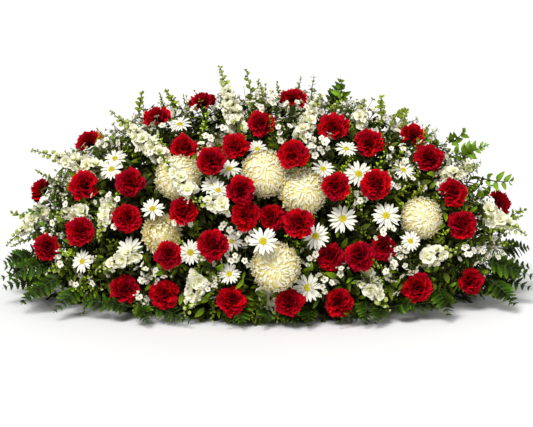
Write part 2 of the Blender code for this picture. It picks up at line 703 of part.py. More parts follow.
def tray():
    """A shallow oblong tray with a flat floor, a rim and rounded corners."""
    def outline(length, depth, corner, z):
        points = []
        for sx, sy, start in ((1, 1, 0), (-1, 1, 90), (-1, -1, 180), (1, -1, 270)):
            for step in range(4):
                angle = math.radians(start + step * 30)
                points.append((sx * (length / 2 - corner) + corner * math.cos(angle),
                               sy * (depth / 2 - corner) + corner * math.sin(angle), z))
        return np.array(points)
    inner = (TRAY_LENGTH - 2 * TRAY_WALL, TRAY_DEPTH - 2 * TRAY_WALL, TRAY_CORNER - TRAY_WALL)
    skin = Skin()
    skin.through([
        outline(TRAY_LENGTH - 0.012, TRAY_DEPTH - 0.012, TRAY_CORNER - 0.006, 0),
        outline(TRAY_LENGTH, TRAY_DEPTH, TRAY_CORNER, TRAY_HEIGHT),
        outline(*inner, TRAY_HEIGHT),
        outline(inner[0] - 0.010, inner[1] - 0.010, inner[2] - 0.005, TRAY_FLOOR),
    ])
    skin.faces = [tuple(reversed(f)) for f in skin.faces]
    made = solid("tray", skin, np.zeros(3))
    made.data.materials.append(material("tray_plastic"))
    return made


def foam(seats):
    """A block of floral foam with chamfered top edges and a blind hole for every stem."""
    base = TRAY_FLOOR + SEAT_GAP
    def outline(inset, z):
        x, y = FOAM_LENGTH / 2 - inset, FOAM_DEPTH / 2 - inset
        return np.array([(x, y, z), (-x, y, z), (-x, -y, z), (x, -y, z)])
    rings = [outline(FOAM_BEVEL, FOAM_TOP), outline(0, FOAM_TOP - FOAM_BEVEL), outline(0, base)]
    made = solid("foam", Skin().through(rings), np.zeros(3))
    apply_boolean(made, "DIFFERENCE", hole_tools("foam", seats))
    made.data.materials.clear()
    made.data.materials.append(material("foam_green"))
    return made


def bed_shell():
    """The bed's core: a thin many-sided dome of packed greens, open underneath."""
    def shell_ring(inset, height, points):
        axes = DOME - inset
        flat = (height - DOME_CENTRE[2]) / axes[2]
        reach = math.sqrt(1 - flat * flat)
        angle = np.arange(points) * math.tau / points
        return np.stack([axes[0] * reach * np.cos(angle), axes[1] * reach * np.sin(angle),
                         np.full(points, height)], axis=1)
    top, roof = (DOME_CENTRE[2] + DOME[2] - inset for inset in (BED_OUTER, BED_INNER))
    rings = [np.array([0, 0, top])]
    rings += [shell_ring(BED_OUTER, z, 16) for z in BED_RINGS + (BED_FOOT,)]
    rings += [shell_ring(BED_INNER, z, 12) for z in (BED_FOOT, 0.140, roof - 0.050)]
    rings.append(np.array([0, 0, roof]))
    return Skin().through(rings)


def bed_legs(space, owner):
    """Bunched green stems that carry the bed, from inside its shell down into the foam."""
    seats, skins = [], []
    for x, y in BED_LEGS:
        foot = np.array([x, y, BED_LEG_FOOT])
        head = at_inset(np.array([x * 1.25, y * 1.35, 0.24]), (BED_OUTER + BED_INNER) / 2)
        first, _ = basis(unit(foot - head))
        skins.append(Skin().through(tube_rings([head, foot], [LEG_RADIUS] * 2, first)))
        seats.append({"fork": head, "root": foot, "radius": LEG_RADIUS, "first": first})
        space.take(beads([head, foot]), LEG_RADIUS, owner)
    return skins, seats


def leafy_tip(root, out, reach, rise, turn):
    """Four broad pointed leaves that spread from one short stalk, which starts inside the core."""
    first, second = basis(out, turn)
    middle = root + out * BED_TIP_STALK
    leaves = ring(middle, first, second, out, [(reach, rise), (reach * 0.32, 0.0)] * 4)
    stalk = [ring(middle, first, second, out, [(0.006, -0.005)] * 3),
             ring(root, first, second, out, [(0.005, 0.0)] * 3)]
    return Skin().through([middle + out * 0.008, leaves] + stalk)


def bed_places():
    """Points on the bed, row by row, at even steps round each row."""
    places = []
    for i, height in enumerate(BED_TIP_ROWS):
        axes = DOME - BED_OUTER - BED_TIP_ROOT
        reach = math.sqrt(max(1 - ((height - DOME_CENTRE[2]) / axes[2]) ** 2, 0))
        angle = np.linspace(0, math.tau, 721)
        loop = np.stack([axes[0] * reach * np.cos(angle), axes[1] * reach * np.sin(angle),
                         np.full(721, height)], axis=1)
        run = np.concatenate([[0], np.linalg.norm(np.diff(loop, axis=0), axis=1).cumsum()])
        count = max(1, round(run[-1] / BED_TIP_STEP))
        wanted = (np.arange(count) + 0.5 * (i % 2)) * run[-1] / count
        places += list(np.stack([np.interp(wanted, run, loop[:, k]) for k in range(3)], axis=1))
    return places


def bed_leaves(space, owner, rng):
    """Leafy tips all over the bed, wherever no stem or bloom is in their way."""
    skins = []
    for i, root in enumerate(bed_places()):
        normal = unit((root - DOME_CENTRE) / DOME**2)
        turn = rng.uniform(0, math.tau)
        forms = [(*form, turn + k * math.tau / 4 / BED_TIP_TURNS)
                 for form in BED_TIP_FORMS for k in range(BED_TIP_TURNS)]
        for form in forms:
            skin = leafy_tip(root, normal, *form)
            peak, rim = skin.points[0], np.array(skin.points[1:9])
            tips = rim[::2]
            ribs = np.vstack([beads([peak, tip]) for tip in tips])
            edges = np.vstack([beads([rim[k - 1], rim[k]]) for k in range(8)])
            if (tips[:, 2].min() > BED_TIP_FLOOR and space.clash(ribs, 0.004, owner, 0.001) <= 0
                    and space.clash(edges, 0.003, owner, 0.001) <= 0):
                space.take(ribs, 0.003, owner + 1000 + i)
                skins.append(skin)
                break
    return skins


def front_and_back():
    """All rows of heads as (node name, kind, finish, rows, side)."""
    plan = []
    for kind, finish, front, back in (
            ("mum", "cream_petals", MUMS, BACK_MUMS),
            ("carnation", "red_petals", CARNATIONS, BACK_CARNATIONS),
            ("spike", "floret_white", SPIKES, BACK_SPIKES),
            ("daisy", "white_petals", DAISIES, BACK_DAISIES)):
        number = 0
        for side, sprays in ((1, front), (-1, back)):
            for rows in sprays:
                number += 1
                plan.append((f"{kind}_{number:02d}", kind, finish, rows, side))
    return plan


def main():
    for old in list(bpy.data.objects):
        bpy.data.objects.remove(old)
    rng = random.Random(41)
    plan = front_and_back()
    heads = {name: [] for name, *_ in plan}
    for name, kind, _, rows, side in plan:
        for row in rows:
            make = long_head if kind == "spike" else round_head
            heads[name].append(make(name, row, side, rng))
            if kind == "daisy":
                heads[name][-1]["back"] = heads[name][-1]["radius"] * 0.8
    for side in (1, -1):
        settle([h for name, _, _, _, s in plan if s == side for h in heads[name]], sight(side)[2])

    space, seats, owners = Space(), [], {name: i for i, (name, *_) in enumerate(plan)}
    bed_owner = len(plan)
    legs, leg_seats = bed_legs(space, bed_owner)
    for name, *_ in plan:
        for head in heads[name]:
            space.take(head["balls"][0], head["balls"][1], owners[name])
    for name, kind, finish, _, _ in plan:
        skins, seat = grow_spray(name, kind, heads[name], owners[name], space)
        seats.append(seat)
        fuse(name, skins, finish, seat["root"])

    owner = bed_owner + 1
    for name, rows in SPRIGS.items():
        kind, finish = ("spike", "wax_petals") if name.startswith("wax") else ("sprig", "sprig_green")
        stalks = [long_head(name, row, 1, rng, 0.007) for row in rows]
        for stalk in stalks:
            stalk["back"] = 0.010
            find_room(stalk, owner, space)
            space.take(stalk["balls"][0], stalk["balls"][1], owner)
        skins, seat = grow_spray(name, kind, stalks, owner, space)
        seats.append(seat)
        fuse(name, skins, finish, seat["root"])
        owner += 1
    fern_seats = []
    for name, (fan, rows) in FERNS.items():
        fan_point = np.array(fan) * MM
        root = fern_root(fan_point, owner, space)
        down = unit(root - fan_point)
        trunk_first, _ = basis(down)
        trunk = tube_rings([fan_point - down * FERN_OVERLAP, root], [TRUNK_RADIUS] * 2, trunk_first)
        skins = [Skin().through(trunk)]
        for x, y, z, half_width in rows:
            tip = np.array([x, y, z]) * MM
            first = fan_point + (tip - fan_point) * FERN_STALK
            skins.append(frond(fan_point + down * FERN_OVERLAP, first, tip, half_width * MM))
            space.take(beads([fan_point, first]), STEM_RADIUS, owner)
            space.take(beads([first, tip])[3:], 0.004, owner)
        space.take(beads([fan_point, root]), TRUNK_RADIUS, owner)
        fern_seats.append({"fork": fan_point, "root": root, "radius": TRUNK_RADIUS, "first": trunk_first})
        fuse(name, skins, "fern_green", root)
        owner += 1

    tray()
    foam(seats + fern_seats + leg_seats)
    leaves = bed_leaves(space, bed_owner, rng)
    bed = fuse("bed", [bed_shell()] + legs + leaves, "leaf_green", np.zeros(3))
    apply_boolean(bed, "DIFFERENCE", hole_tools("bed", seats))
    for made in bpy.data.objects:
        made.data.validate()


main()
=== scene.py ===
"""A casket spray: red carnations, cream chrysanthemums, daisies, white spikes, waxflower and greens,
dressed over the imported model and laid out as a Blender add-on. Metres, +Z up, the front at -Y."""

import functools
import math
import random

import bpy
import numpy as np
from bpy.props import FloatProperty, FloatVectorProperty, IntProperty, PointerProperty
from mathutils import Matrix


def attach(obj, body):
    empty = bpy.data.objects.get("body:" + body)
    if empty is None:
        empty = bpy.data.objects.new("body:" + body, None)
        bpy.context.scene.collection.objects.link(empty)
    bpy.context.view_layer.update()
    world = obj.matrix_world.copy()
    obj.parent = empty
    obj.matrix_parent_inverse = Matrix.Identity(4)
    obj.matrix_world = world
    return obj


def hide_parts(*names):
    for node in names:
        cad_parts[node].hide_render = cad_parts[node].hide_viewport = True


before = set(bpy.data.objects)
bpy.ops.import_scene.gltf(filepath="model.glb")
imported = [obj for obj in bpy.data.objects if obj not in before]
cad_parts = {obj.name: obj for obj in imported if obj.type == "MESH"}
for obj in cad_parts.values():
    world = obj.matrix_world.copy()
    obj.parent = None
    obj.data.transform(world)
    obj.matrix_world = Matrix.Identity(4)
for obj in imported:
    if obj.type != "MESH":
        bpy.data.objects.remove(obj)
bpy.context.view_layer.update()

bl_info = {
    "name": "Casket Spray",
    "version": (1, 0, 0),
    "blender": (4, 5, 0),
    "location": "View3D > Sidebar > Casket Spray",
    "description": "Builds the blooms and greens of a casket spray over its packed model",
    "category": "Object",
}

MM = 0.001
FLOOR_GAP = 0.0006  # how high above the floor the lowest leaves lie
GOLDEN = math.pi * (3 - math.sqrt(5))  # the angle between one petal of a spiral and the next

# The photo: its size in pixels, the pixel where the frame's origin lies, the metres that a pixel
# spans at the spray, how far down the camera looks and how far away it stands.
FRAME_WIDTH, FRAME_HEIGHT = 533, 427
ORIGIN_PIXEL = (267, 298)
PIXEL = 0.00205
SIGHT_UP = math.radians(12.5)
CAMERA_FAR = 16.0
SENSOR_MM = 36
FLOOR_REACH, VIEW_END = 30.0, 100.0  # how far the floor runs and the camera sees
# Sun lamps of the stage: strength, angular size, height above the horizon and turn about z.
LAMPS = {"key": (3.0, 0.45, 0.85, -0.35), "fill": (0.5, 1.0, 0.6, 0.8), "back": (0.5, 1.0, 0.7, 2.9)}
WORLD_STRENGTH = 0.25

# From here down to the fronds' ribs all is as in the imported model. First the dome that the blooms'
# middles lie on, and the least upward part of the direction in which a bloom points.
DOME = np.array([490, 270, 300]) * MM
DOME_CENTRE = np.array([0, 0, 120]) * MM
LEAST_RISE = 0.05
# Forks of stems: depths under the dome, distances aside and how many directions are tried, the
# least height, how far side stems run on into the trunk, and the run between bends of a stem.
FORK_INSETS = (0.058, 0.048, 0.064)
FORK_SPREADS = (0, 0.016, 0.032, 0.048, 0.064, 0.080)
FORK_TURNS = 12
FORK_LEAST_HEIGHT = 0.045
FORK_OVERLAP = 0.006
BEND_EVERY = 0.125
# Stems' ends in the foam: shares of the fork's x and y, limits of both, and the height as height
# at the floor, gain with the fork's height, least and most.
ROOT_SHARES = (0.50, 0.30)
ROOT_LIMITS = (0.235, 0.066)
ROOT_HEIGHTS = (0.030, 0.16, 0.022, 0.090)
# The bed: depths of its outer and inner face under the dome, height of its foot, and its legs.
BED_OUTER, BED_INNER = 0.092, 0.112
BED_FOOT = 0.038
BED_LEGS = ((-0.20, -0.045), (-0.18, 0.045), (0.18, 0.045), (0.20, -0.045))
BED_LEG_FOOT, BED_LEG_TOP = 0.085, 0.24
BED_LEG_SPLAY = np.array([1.25, 1.35])  # how much further out its top stands than its foot
# Its leafy tips: heights of their rows, the step along a row, the (reach, rise) of each form and
# how many turns are tried, depth of the root, length of the stalk and the least height.
BED_TIP_ROWS = (0.084, 0.146, 0.206, 0.260, 0.296, 0.309)
BED_TIP_STEP = 0.092
BED_TIP_FORMS = ((0.066, 0.026), (0.062, 0.012), (0.055, 0.006), (0.046, 0.004))
BED_TIP_TURNS = 3
BED_TIP_ROOT = 0.016
BED_TIP_STALK = 0.025
BED_TIP_FLOOR = 0.016
BED_TIP_PEAK = 0.008  # height of a tip's middle above its stalk
BED_TIP_WAIST = 0.32  # share of the reach between two of its four points
BED_TIP_RIB, BED_TIP_EDGE, BED_TIP_GAP = 0.004, 0.003, 0.001  # radii and gap where tips are tested
STEM_RADIUS, TRUNK_RADIUS, LEG_RADIUS, SPRIG_RADIUS = 0.0024, 0.0044, 0.0056, 0.0016
CALYX_DEPTH, DAISY_CALYX_DEPTH = 1.15, 0.8  # in the bloom's radii
CLEARANCE = 0.0012  # the least gap between two sprays
GIVE = 0.050  # how far a bloom may sink in
SAMPLE_STEP = 0.006  # between the points where a stem is tested
SETTLE_ROUNDS, SETTLE_SLACK = 60, 0.0001  # most rounds of drawing apart, and the gap each leaves
SPIKE_BASE = 0.96  # where spikes and sprigs start, as a share of the dome
SPRIG_ROOM, SPRIG_BACK = 0.007, 0.010  # the radius a sprig takes up, and its stem's start below it
ROOM_SHIFTS = (0, 8, -8, 16, -16, 24, -24, 32, 40)  # millimetres that a sprig may move
FERN_STALK = 0.32  # where the leaflets start, as a share of the way to the tip
FERN_ROOT_HEIGHT = 0.040
FERN_ROOT_SHIFTS = (0, 0.010, -0.010, 0.020, -0.020, 0.030, -0.030, 0.040, -0.040)
FERN_RIB = 0.004  # the radius that a frond's rib takes up
EVEN_TURNS = 721  # points round a row of the bed, from which even steps are taken

# Blooms seen from the front, one list for each spray of joined stems: across, up, diameter, lift
# towards the viewer, and how far the face turns to the viewer.
CARNATIONS = [
    [(-365, 320, 64, 0, 0.0), (-373, 230, 66, 0, 0.4), (-463, 221, 60, 0, 0.0)],
    [(-277, 236, 66, 10, 0.4), (-283, 164, 66, 10, 0.4)],
    [(-379, 137, 66, 10, 0.4), (-449, 105, 64, 0, 0.3)],
    [(-226, 369, 64, 0, 0.0), (-131, 400, 64, 0, 0.0)],
    [(-170, 308, 62, 0, 0.2), (-113, 279, 66, 10, 0.4), (-64, 310, 62, 0, 0.2)],
    [(-53, 221, 66, 15, 0.4), (-43, 170, 66, 15, 0.4), (10, 166, 60, -15, 0.4), (64, 154, 68, 15, 0.4)],
    [(-12, 357, 62, 0, 0.2), (53, 408, 62, 0, 0.0), (53, 293, 68, 10, 0.4)],
    [(135, 349, 70, 0, 0.3), (207, 318, 66, 0, 0.3)],
    [(139, 228, 64, 0, 0.4), (219, 232, 68, 10, 0.4)],
    [(299, 334, 60, -20, 0.2), (330, 287, 66, 10, 0.4)],
    [(379, 217, 64, 0, 0.4), (396, 150, 66, 10, 0.4), (478, 195, 60, 0, 0.0)],
    [(-289, 18, 66, 0, 0.5), (-209, 10, 68, 0, 0.5), (-199, 90, 62, 0, 0.4)],
    [(-170, 178, 62, -10, 0.4), (-109, 109, 70, 10, 0.4)],
    [(-72, -4, 66, 0, 0.5), (45, -6, 64, 0, 0.5)],
    [(146, -6, 66, 0, 0.5), (129, 84, 64, 0, 0.4), (187, 86, 68, 15, 0.4), (236, 105, 60, -20, 0.4)],
    [(305, 23, 68, 0, 0.5), (416, 35, 62, 0, 0.2)],
]
MUMS = [
    [(-180, 246, 94, -5, 0.5)],
    [(-4, 254, 98, 0, 0.5), (72, 217, 98, 0, 0.5)],
    [(18, 66, 100, 0, 0.6)],
    [(312, 164, 86, 0, 0.5)],
    [(-213, 131, 74, 0, 0.4)],
]
DAISIES = [
    [(-308, 283, 50, 0, 0.2), (-314, 262, 50, 8, 0.4), (-230, 182, 48, 0, 0.4)],
    [(-176, 353, 48, 0, 0.2), (-111, 226, 46, 0, 0.3), (-98, 221, 44, 12, 0.4)],
    [(-76, 262, 48, 0, 0.0), (-20, 303, 44, 0, 0.2)],
    [(-277, 100, 56, 0, 0.4), (-373, 76, 48, 0, 0.2)],
    [(-154, 94, 54, 0, 0.4), (-76, 51, 46, 0, 0.5), (-70, 117, 44, -15, 0.3), (-8, 117, 62, 10, 0.5)],
    [(78, 25, 60, 0, 0.5), (98, 127, 56, 0, 0.5), (152, 162, 60, 10, 0.5)],
    [(113, 262, 48, 0, 0.0), (185, 252, 60, 8, 0.4), (160, 303, 46, 0, 0.0)],
    [(240, 168, 60, 10, 0.5), (289, 117, 44, 0, 0.4), (275, 260, 46, 0, 0.0)],
]
# White spikes: tip across and up, how far out the tip stands, base across and up, and radius.
SPIKES = [
    [(-96, 474, 1.16, -61, 348, 14), (109, 416, 1.10, 68, 324, 13), (199, 406, 1.14, 185, 352, 12)],
    [(-480, 303, 1.18, -340, 262, 14), (-318, 381, 1.16, -213, 287, 14)],
    [(-531, 109, 1.12, -455, 180, 13), (-435, 170, 1.10, -363, 176, 13), (-342, 120, 1.10, -318, 196, 12),
     (-342, 31, 1.06, -260, 70, 13)],
    [(-168, -40, 1.06, -135, 47, 15), (23, -46, 1.05, -4, 20, 14)],
    [(-219, 297, 1.12, -150, 212, 13), (-148, 201, 1.08, -80, 190, 14)],
    [(248, -27, 1.06, 195, 47, 15), (385, 100, 1.08, 318, 84, 15)],
    [(529, 129, 1.14, 443, 178, 14), (430, 273, 1.14, 346, 240, 13)],
]
# The same, seen from the back, with across running to the spray's left.
BACK_CARNATIONS = [
    [(-330, 150, 66, 0, 0.2), (-262, 92, 66, 0, 0.3), (-258, 212, 64, 0, 0.2)],
    [(-62, 96, 66, 0, 0.3), (-22, 176, 66, 0, 0.2), (46, 128, 66, 0, 0.3), (98, 66, 64, 0, 0.3)],
    [(258, 96, 66, 0, 0.3), (326, 158, 66, 0, 0.2), (250, 222, 64, 0, 0.2), (396, 112, 64, 0, 0.2)],
]
BACK_MUMS = [[(-130, 246, 92, 0, 0.2)], [(142, 196, 94, 0, 0.2)]]
BACK_DAISIES = [[(-172, 150, 52, 0, 0.2), (-160, 84, 54, 0, 0.3), (-118, 118, 46, 0, 0.3)]]
BACK_SPIKES = [
    [(-66, 372, 1.16, -52, 300, 13), (18, 384, 1.16, 10, 300, 13), (86, 366, 1.14, 62, 300, 13)],
]
# Sprigs: tip across and up, how far out, base across and up, the leaves' reach, and their pairs.
SPRIGS = {
    "eucalyptus_top": [(-43, 467, 1.16, -29, 385, 17, 5), (96, 452, 1.18, 92, 385, 17, 4),
                       (150, 446, 1.18, 150, 396, 20, 3)],
    "eucalyptus_right": [(234, 412, 1.16, 235, 370, 16, 4), (285, 384, 1.14, 262, 372, 16, 3),
                         (400, 344, 1.16, 372, 318, 24, 3), (443, 310, 1.16, 395, 282, 24, 3)],
    "eucalyptus_left": [(-254, 420, 1.18, -262, 375, 15, 4), (-205, 425, 1.16, -180, 385, 15, 4)],
    "greens_left": [(-521, 174, 1.12, -470, 160, 17, 4), (-440, 60, 1.10, -405, 70, 17, 3)],
    "greens_right": [(528, 182, 1.12, 470, 150, 17, 4), (500, 240, 1.14, 440, 245, 24, 3)],
    "waxflower_left": [(-112, 40, 1.06, -118, 72, 10), (-236, 48, 1.06, -240, 78, 10)],
    "waxflower_right": [(256, 50, 1.06, 262, 84, 11), (292, 64, 1.06, 286, 92, 10)],
}
# Fern fans: the point where a fan's stalks part, and each frond's tip and half width.
FERNS = {
    "fern_left": ((-420, -20, 14), [(-541, -70, 24, 27), (-541, 34, 44, 27), (-500, -150, 8, 27)]),
    "fern_front_left": ((-260, -190, 14), [(-405, -222, 6, 24), (-330, -262, 6, 24),
                                           (-240, -284, 6, 24), (-150, -282, 6, 24)]),
    "fern_front_middle": ((10, -200, 14), [(-85, -292, 6, 24), (-10, -302, 6, 22), (62, -300, 6, 24)]),
    "fern_front_right": ((240, -190, 14), [(140, -286, 6, 24), (215, -292, 6, 24), (300, -276, 6, 24),
                                           (390, -235, 6, 25)]),
    "fern_right": ((420, -20, 14), [(541, -76, 24, 27), (541, 30, 48, 27), (500, -160, 8, 27)]),
    "fern_back_left": ((-200, 200, 14), [(-340, 240, 6, 32), (-210, 286, 6, 32), (-90, 290, 6, 32)]),
    "fern_back_right": ((150, 200, 14), [(40, 292, 6, 32), (180, 296, 6, 32), (320, 256, 6, 32)]),
}
# Waxflower clusters among the blooms: across and up.
WAX_CLUSTERS = [
    (-328, 201), (-168, 156), (-387, 27), (-412, 76), (-250, 43), (-254, -8), (-117, 31), (-121, 72),
    (-45, 125), (-68, 90), (-92, 338), (-123, 318), (33, 330), (64, 361), (82, 320), (105, 303),
    (238, 135), (258, 108), (274, 76), (246, 60), (402, 92), (436, 98), (462, 84), (246, 288),
    (262, 236), (352, 232), (88, 92), (150, 53), (109, 37), (119, 27), (197, 201), (-20, 60),
]
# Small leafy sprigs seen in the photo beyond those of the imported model: tip across and up, how far
# out, base across and up, the leaves' reach, and their pairs.
SMALL_SPRIGS = [
    (6, 369, 1.06, 12, 293, 13, 9), (-219, 419, 1.12, -198, 365, 9, 8), (-520, 105, 1.10, -465, 129, 11, 8),
    (521, 170, 1.10, 478, 156, 10, 7), (267, 380, 1.10, 242, 330, 10, 7), (-375, -30, 1.04, -350, 20, 12, 6),
    (-270, -27, 1.04, -262, 20, 12, 6), (-111, -43, 1.03, -100, 10, 12, 6), (-31, -35, 1.04, -20, 15, 13, 5),
    (-428, 292, 1.12, -385, 262, 19, 2), (-398, 306, 1.12, -360, 270, 19, 2),
    (-490, 176, 1.08, -430, 170, 18, 4), (-316, 338, 1.12, -290, 296, 21, 2),
    (-470, 150, 1.08, -430, 150, 18, 2), (-456, 216, 1.10, -420, 196, 18, 2),
    (180, 392, 1.10, 150, 372, 18, 3), (150, 381, 1.06, 120, 356, 18, 3), (424, 226, 1.10, 390, 205, 18, 3),
    (338, 336, 1.12, 300, 290, 18, 3), (452, 314, 1.12, 380, 290, 18, 5), (280, 372, 1.12, 262, 330, 12, 7),
    (150, 420, 1.12, 128, 380, 12, 6), (-300, 362, 1.12, -268, 318, 12, 7),
    (-345, 345, 1.12, -310, 300, 11, 7), (20, 440, 1.12, 14, 380, 11, 7), (-12, 434, 1.12, -8, 372, 10, 7),
    (240, 392, 1.10, 225, 340, 11, 7), (-470, 262, 1.10, -420, 236, 11, 7), (480, 140, 1.10, 440, 130, 12, 6),
    (500, 110, 1.08, 450, 104, 11, 6), (330, 352, 1.10, 300, 312, 12, 6), (-170, 415, 1.10, -160, 360, 9, 8),
    (70, 452, 1.12, 66, 396, 11, 7),
]
# Further fronds: foot and tip as x, y and z, and half width.
SMALL_FRONDS = [
    ((475, 20, 100), (540, 60, 92), 26), ((-475, 10, 90), (-540, -12, 74), 28),
    ((132, 30, 380), (150, 48, 452), 24), ((-455, 90, 60), (-530, 120, 16), 28),
    ((455, 90, 60), (530, 120, 16), 28), ((-380, 170, 50), (-430, 215, 10), 28),
    ((380, 170, 50), (430, 215, 10), 28), ((-130, 220, 40), (-150, 292, 8), 26),
    ((110, 225, 40), (108, 292, 8), 26), ((250, 210, 40), (262, 272, 8), 26),
    ((-430, -90, 100), (-545, -100, 62), 30), ((-415, -120, 80), (-500, -166, 26), 28),
    ((-375, -160, 66), (-432, -222, 20), 26), ((-52, -228, 50), (-50, -298, 8), 22),
    ((80, -228, 50), (84, -300, 8), 23), ((200, -215, 50), (198, -284, 8), 23),
    ((345, -170, 64), (368, -240, 16), 27), ((454, -96, 62), (508, -156, 20), 28),
    ((440, -80, 100), (545, -92, 64), 30),
]
# Heads that are moved from their packed place: spray, which one, and x, y and z in millimetres. The
# low spike on the left goes behind the carnation under it, which shows whole, and three daisies come
# out of the shadow of the bloom beside them.
SHIFTED_HEADS = (("spike_03", 3, (-6, 24, 20)), ("daisy_06", 0, (4, -26, 4)),
                 ("daisy_02", 1, (0, -24, 8)), ("daisy_02", 2, (0, -26, 4)))
MUM_FLATNESS = (0.70, 0.60)  # height of a chrysanthemum's upper and lower half, in radii
SPIDERY_RADIUS = 0.040  # smaller chrysanthemums are the spidery kind
CLUSTER_FOOT = 0.86  # where waxflower clusters and small sprigs start, as a share of the dome
SMALL_SPRIG_RADIUS = 0.0013
OPEN_FROM = 0.36  # the share of a spike, from its tip, from which its florets are open
# Waxflower clusters: flowers of a full and of a small one; and for the small ones, strewn over the
# dome in two goes, the number tried, the least height and the seed.
WAX_FLOWERS, SMALL_WAX_FLOWERS = 9, 5
WAX_STREWN = ((230, 0.06, 23), (190, 0.26, 24))
CLUSTER_TIP, STREWN_FOOT = 1.01, 0.88  # where full ones end and small ones start, in domes
WAX_CLEAR = 1.4  # how far small ones keep from a bloom's middle, in its radii
WAX_OPEN = 0.66  # the share of open flowers, where the rest are buds
FLORET_STEP = 0.36  # from one floret of a spike to the next, in the spike's radii
SPRIG_ARCH = 0.06  # how far a sprig's stalk is bent, as a share of its length
SLIM_STEM, SLIM_TRUNK, SLIM_LEG = 0.6, 0.8, 0.85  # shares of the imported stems' thickness
FERN_ARCH = 0.005
END_FROM = 0.4  # fern fans further aside than this are at the ends
FROND_LIFT = np.array([0, 0, 40]) * MM
FAN_RAISE = 40 * MM, 26 * MM  # how far a fan's outer fronds move in and up
BROAD_REACH = 0.0175  # sprigs whose leaves reach this far have broad ones, in few pairs
# Small leaves of the bed: how far under the dome the deepest lies; their least height on it, and
# the depth from which they lie under it, which is less beyond a distance aside and below a height,
# so that the ends and the foot are fuller; and how high a leaf's foot stands at least.
BED_DEEPEST = 0.098
LEAF_LOWEST, LEAF_DEPTH, LEAF_EDGE_DEPTH = 0.030, 0.026, 0.004
FULL_ASIDE, FULL_BELOW = 0.34, 0.13
LEAF_FLOOR = 0.004
# Leaves round the foot: the ranges of their heights, of their distances out as shares of the dome's
# and of their depths, which only set how dark painted shade makes them, and how far they are tucked
# in between the axes, as a share.
SKIRT_HEIGHTS, SKIRT_REACHES, SKIRT_DEPTHS = (0.006, 0.075), (0.80, 0.98), (0.0, 0.09)
SKIRT_TUCK = 0.24
# Filler sprigs: the least height, the ranges of their feet's depths and of their lengths, and the
# step from one pair of leaves to the next.
FILLER_LOWEST, FILLER_DEPTHS, FILLER_LENGTHS = 0.045, (0.060, 0.085), (0.045, 0.095)
FILLER_STEP = 0.009
CORE_LUMPS, CORE_BEND, CORE_FALL = 0.03, 1.2, 0.37  # height of lumps; angles where it is drawn down
# Cups under the blooms: height and width of each ring, in radii.
CUPS = {
    "carnation": [(-1.15, 0.10), (-0.98, 0.16), (-0.62, 0.20), (-0.46, 0.22), (-0.44, 0.02)],
    "mum": [(-1.15, 0.06), (-0.80, 0.16), (-0.50, 0.30), (-0.42, 0.34), (-0.40, 0.02)],
    "daisy": [(-0.80, 0.08), (-0.30, 0.12), (-0.16, 0.26), (-0.02, 0.28), (0.0, 0.1)],
}
STEMMED = ("carnation", "mum", "daisy", "spike", "waxflower", "eucalyptus", "greens")


def unit(vector):
    """The vector, or each row of vectors, with length 1."""
    return vector / np.linalg.norm(vector, axis=-1, keepdims=True)


def at_inset(point, inset):
    """The point on the same line from the dome's centre that lies this far inside the dome."""
    away = point - DOME_CENTRE
    return DOME_CENTRE + away / np.linalg.norm(away / (DOME - inset), axis=-1, keepdims=True)


def sight(side):
    """The directions across, up and towards the viewer, for the front (1) or the back (-1)."""
    across = np.array([side, 0, 0], float)
    up = np.array([0, side * math.sin(SIGHT_UP), math.cos(SIGHT_UP)])
    towards = np.array([0, -side * math.cos(SIGHT_UP), math.sin(SIGHT_UP)])
    return across, up, towards


def on_dome(across_mm, up_mm, side=1, grow=1.0):
    """Where a line of sight first meets the dome grown by a factor, or passes closest to it."""
    across, up, towards = sight(side)
    start = across * across_mm * MM + up * up_mm * MM
    scaled = (start - DOME_CENTRE) / (DOME * grow)
    along = towards / (DOME * grow)
    a, b, c = along @ along, scaled @ along, scaled @ scaled - 1
    inside = max(b * b - a * c, 0.0)
    return start + towards * (-b + math.sqrt(inside)) / a


def outward(point):
    """The dome's normal under a point, never turned far down."""
    normal = unit((point - DOME_CENTRE) / DOME**2)
    normal[2] = max(normal[2], LEAST_RISE)
    return unit(normal)


def basis(axis, turn=0.0):
    """Two directions across an axis, turned about it by an angle."""
    helper = np.array([0, 0, 1.0]) if abs(axis[2]) < 0.9 else np.array([1.0, 0, 0])
    first = unit(np.cross(helper, axis))
    second = np.cross(axis, first)
    return (first * math.cos(turn) + second * math.sin(turn),
            second * math.cos(turn) - first * math.sin(turn))


class Space:
    """What is taken: balls along every stem and round every bloom, by the node that holds them."""

    def __init__(self):
        self.centres = np.zeros((0, 3))
        self.radii = np.zeros(0)
        self.owners = np.zeros(0, int)

    def take(self, centres, radii, owner):
        """Adds balls that belong to a node."""
        centres = np.atleast_2d(centres)
        self.centres = np.vstack([self.centres, centres])
        self.radii = np.concatenate([self.radii, np.broadcast_to(radii, len(centres))])
        self.owners = np.concatenate([self.owners, np.full(len(centres), owner)])

    def clash(self, centres, radii, owner, gap=CLEARANCE):
        """How deep the deepest of these balls runs into another node's."""
        others = self.owners != owner
        if not others.any():
            return -1.0
        apart = np.linalg.norm(np.atleast_2d(centres)[:, None] - self.centres[others][None], axis=2)
        wanted = np.broadcast_to(radii, len(np.atleast_2d(centres)))[:, None] + self.radii[others][None]
        return float((wanted + gap - apart).max())


def beads(path):
    """Points at even steps along a path."""
    made = []
    for a, b in zip(path, path[1:]):
        count = max(1, math.ceil(np.linalg.norm(b - a) / SAMPLE_STEP))
        made += [a + (b - a) * i / count for i in range(count)]
    return np.array(made + [path[-1]])


def settle(heads, towards):
    """Draws blooms of different sprays that would touch apart along the line of sight."""
    for _ in range(SETTLE_ROUNDS):
        moved = False
        for i, one in enumerate(heads):
            for other in heads[i + 1:]:
                if one["spray"] != other["spray"]:
                    moved = push_apart(one, other, towards) or moved
        if not moved:
            break


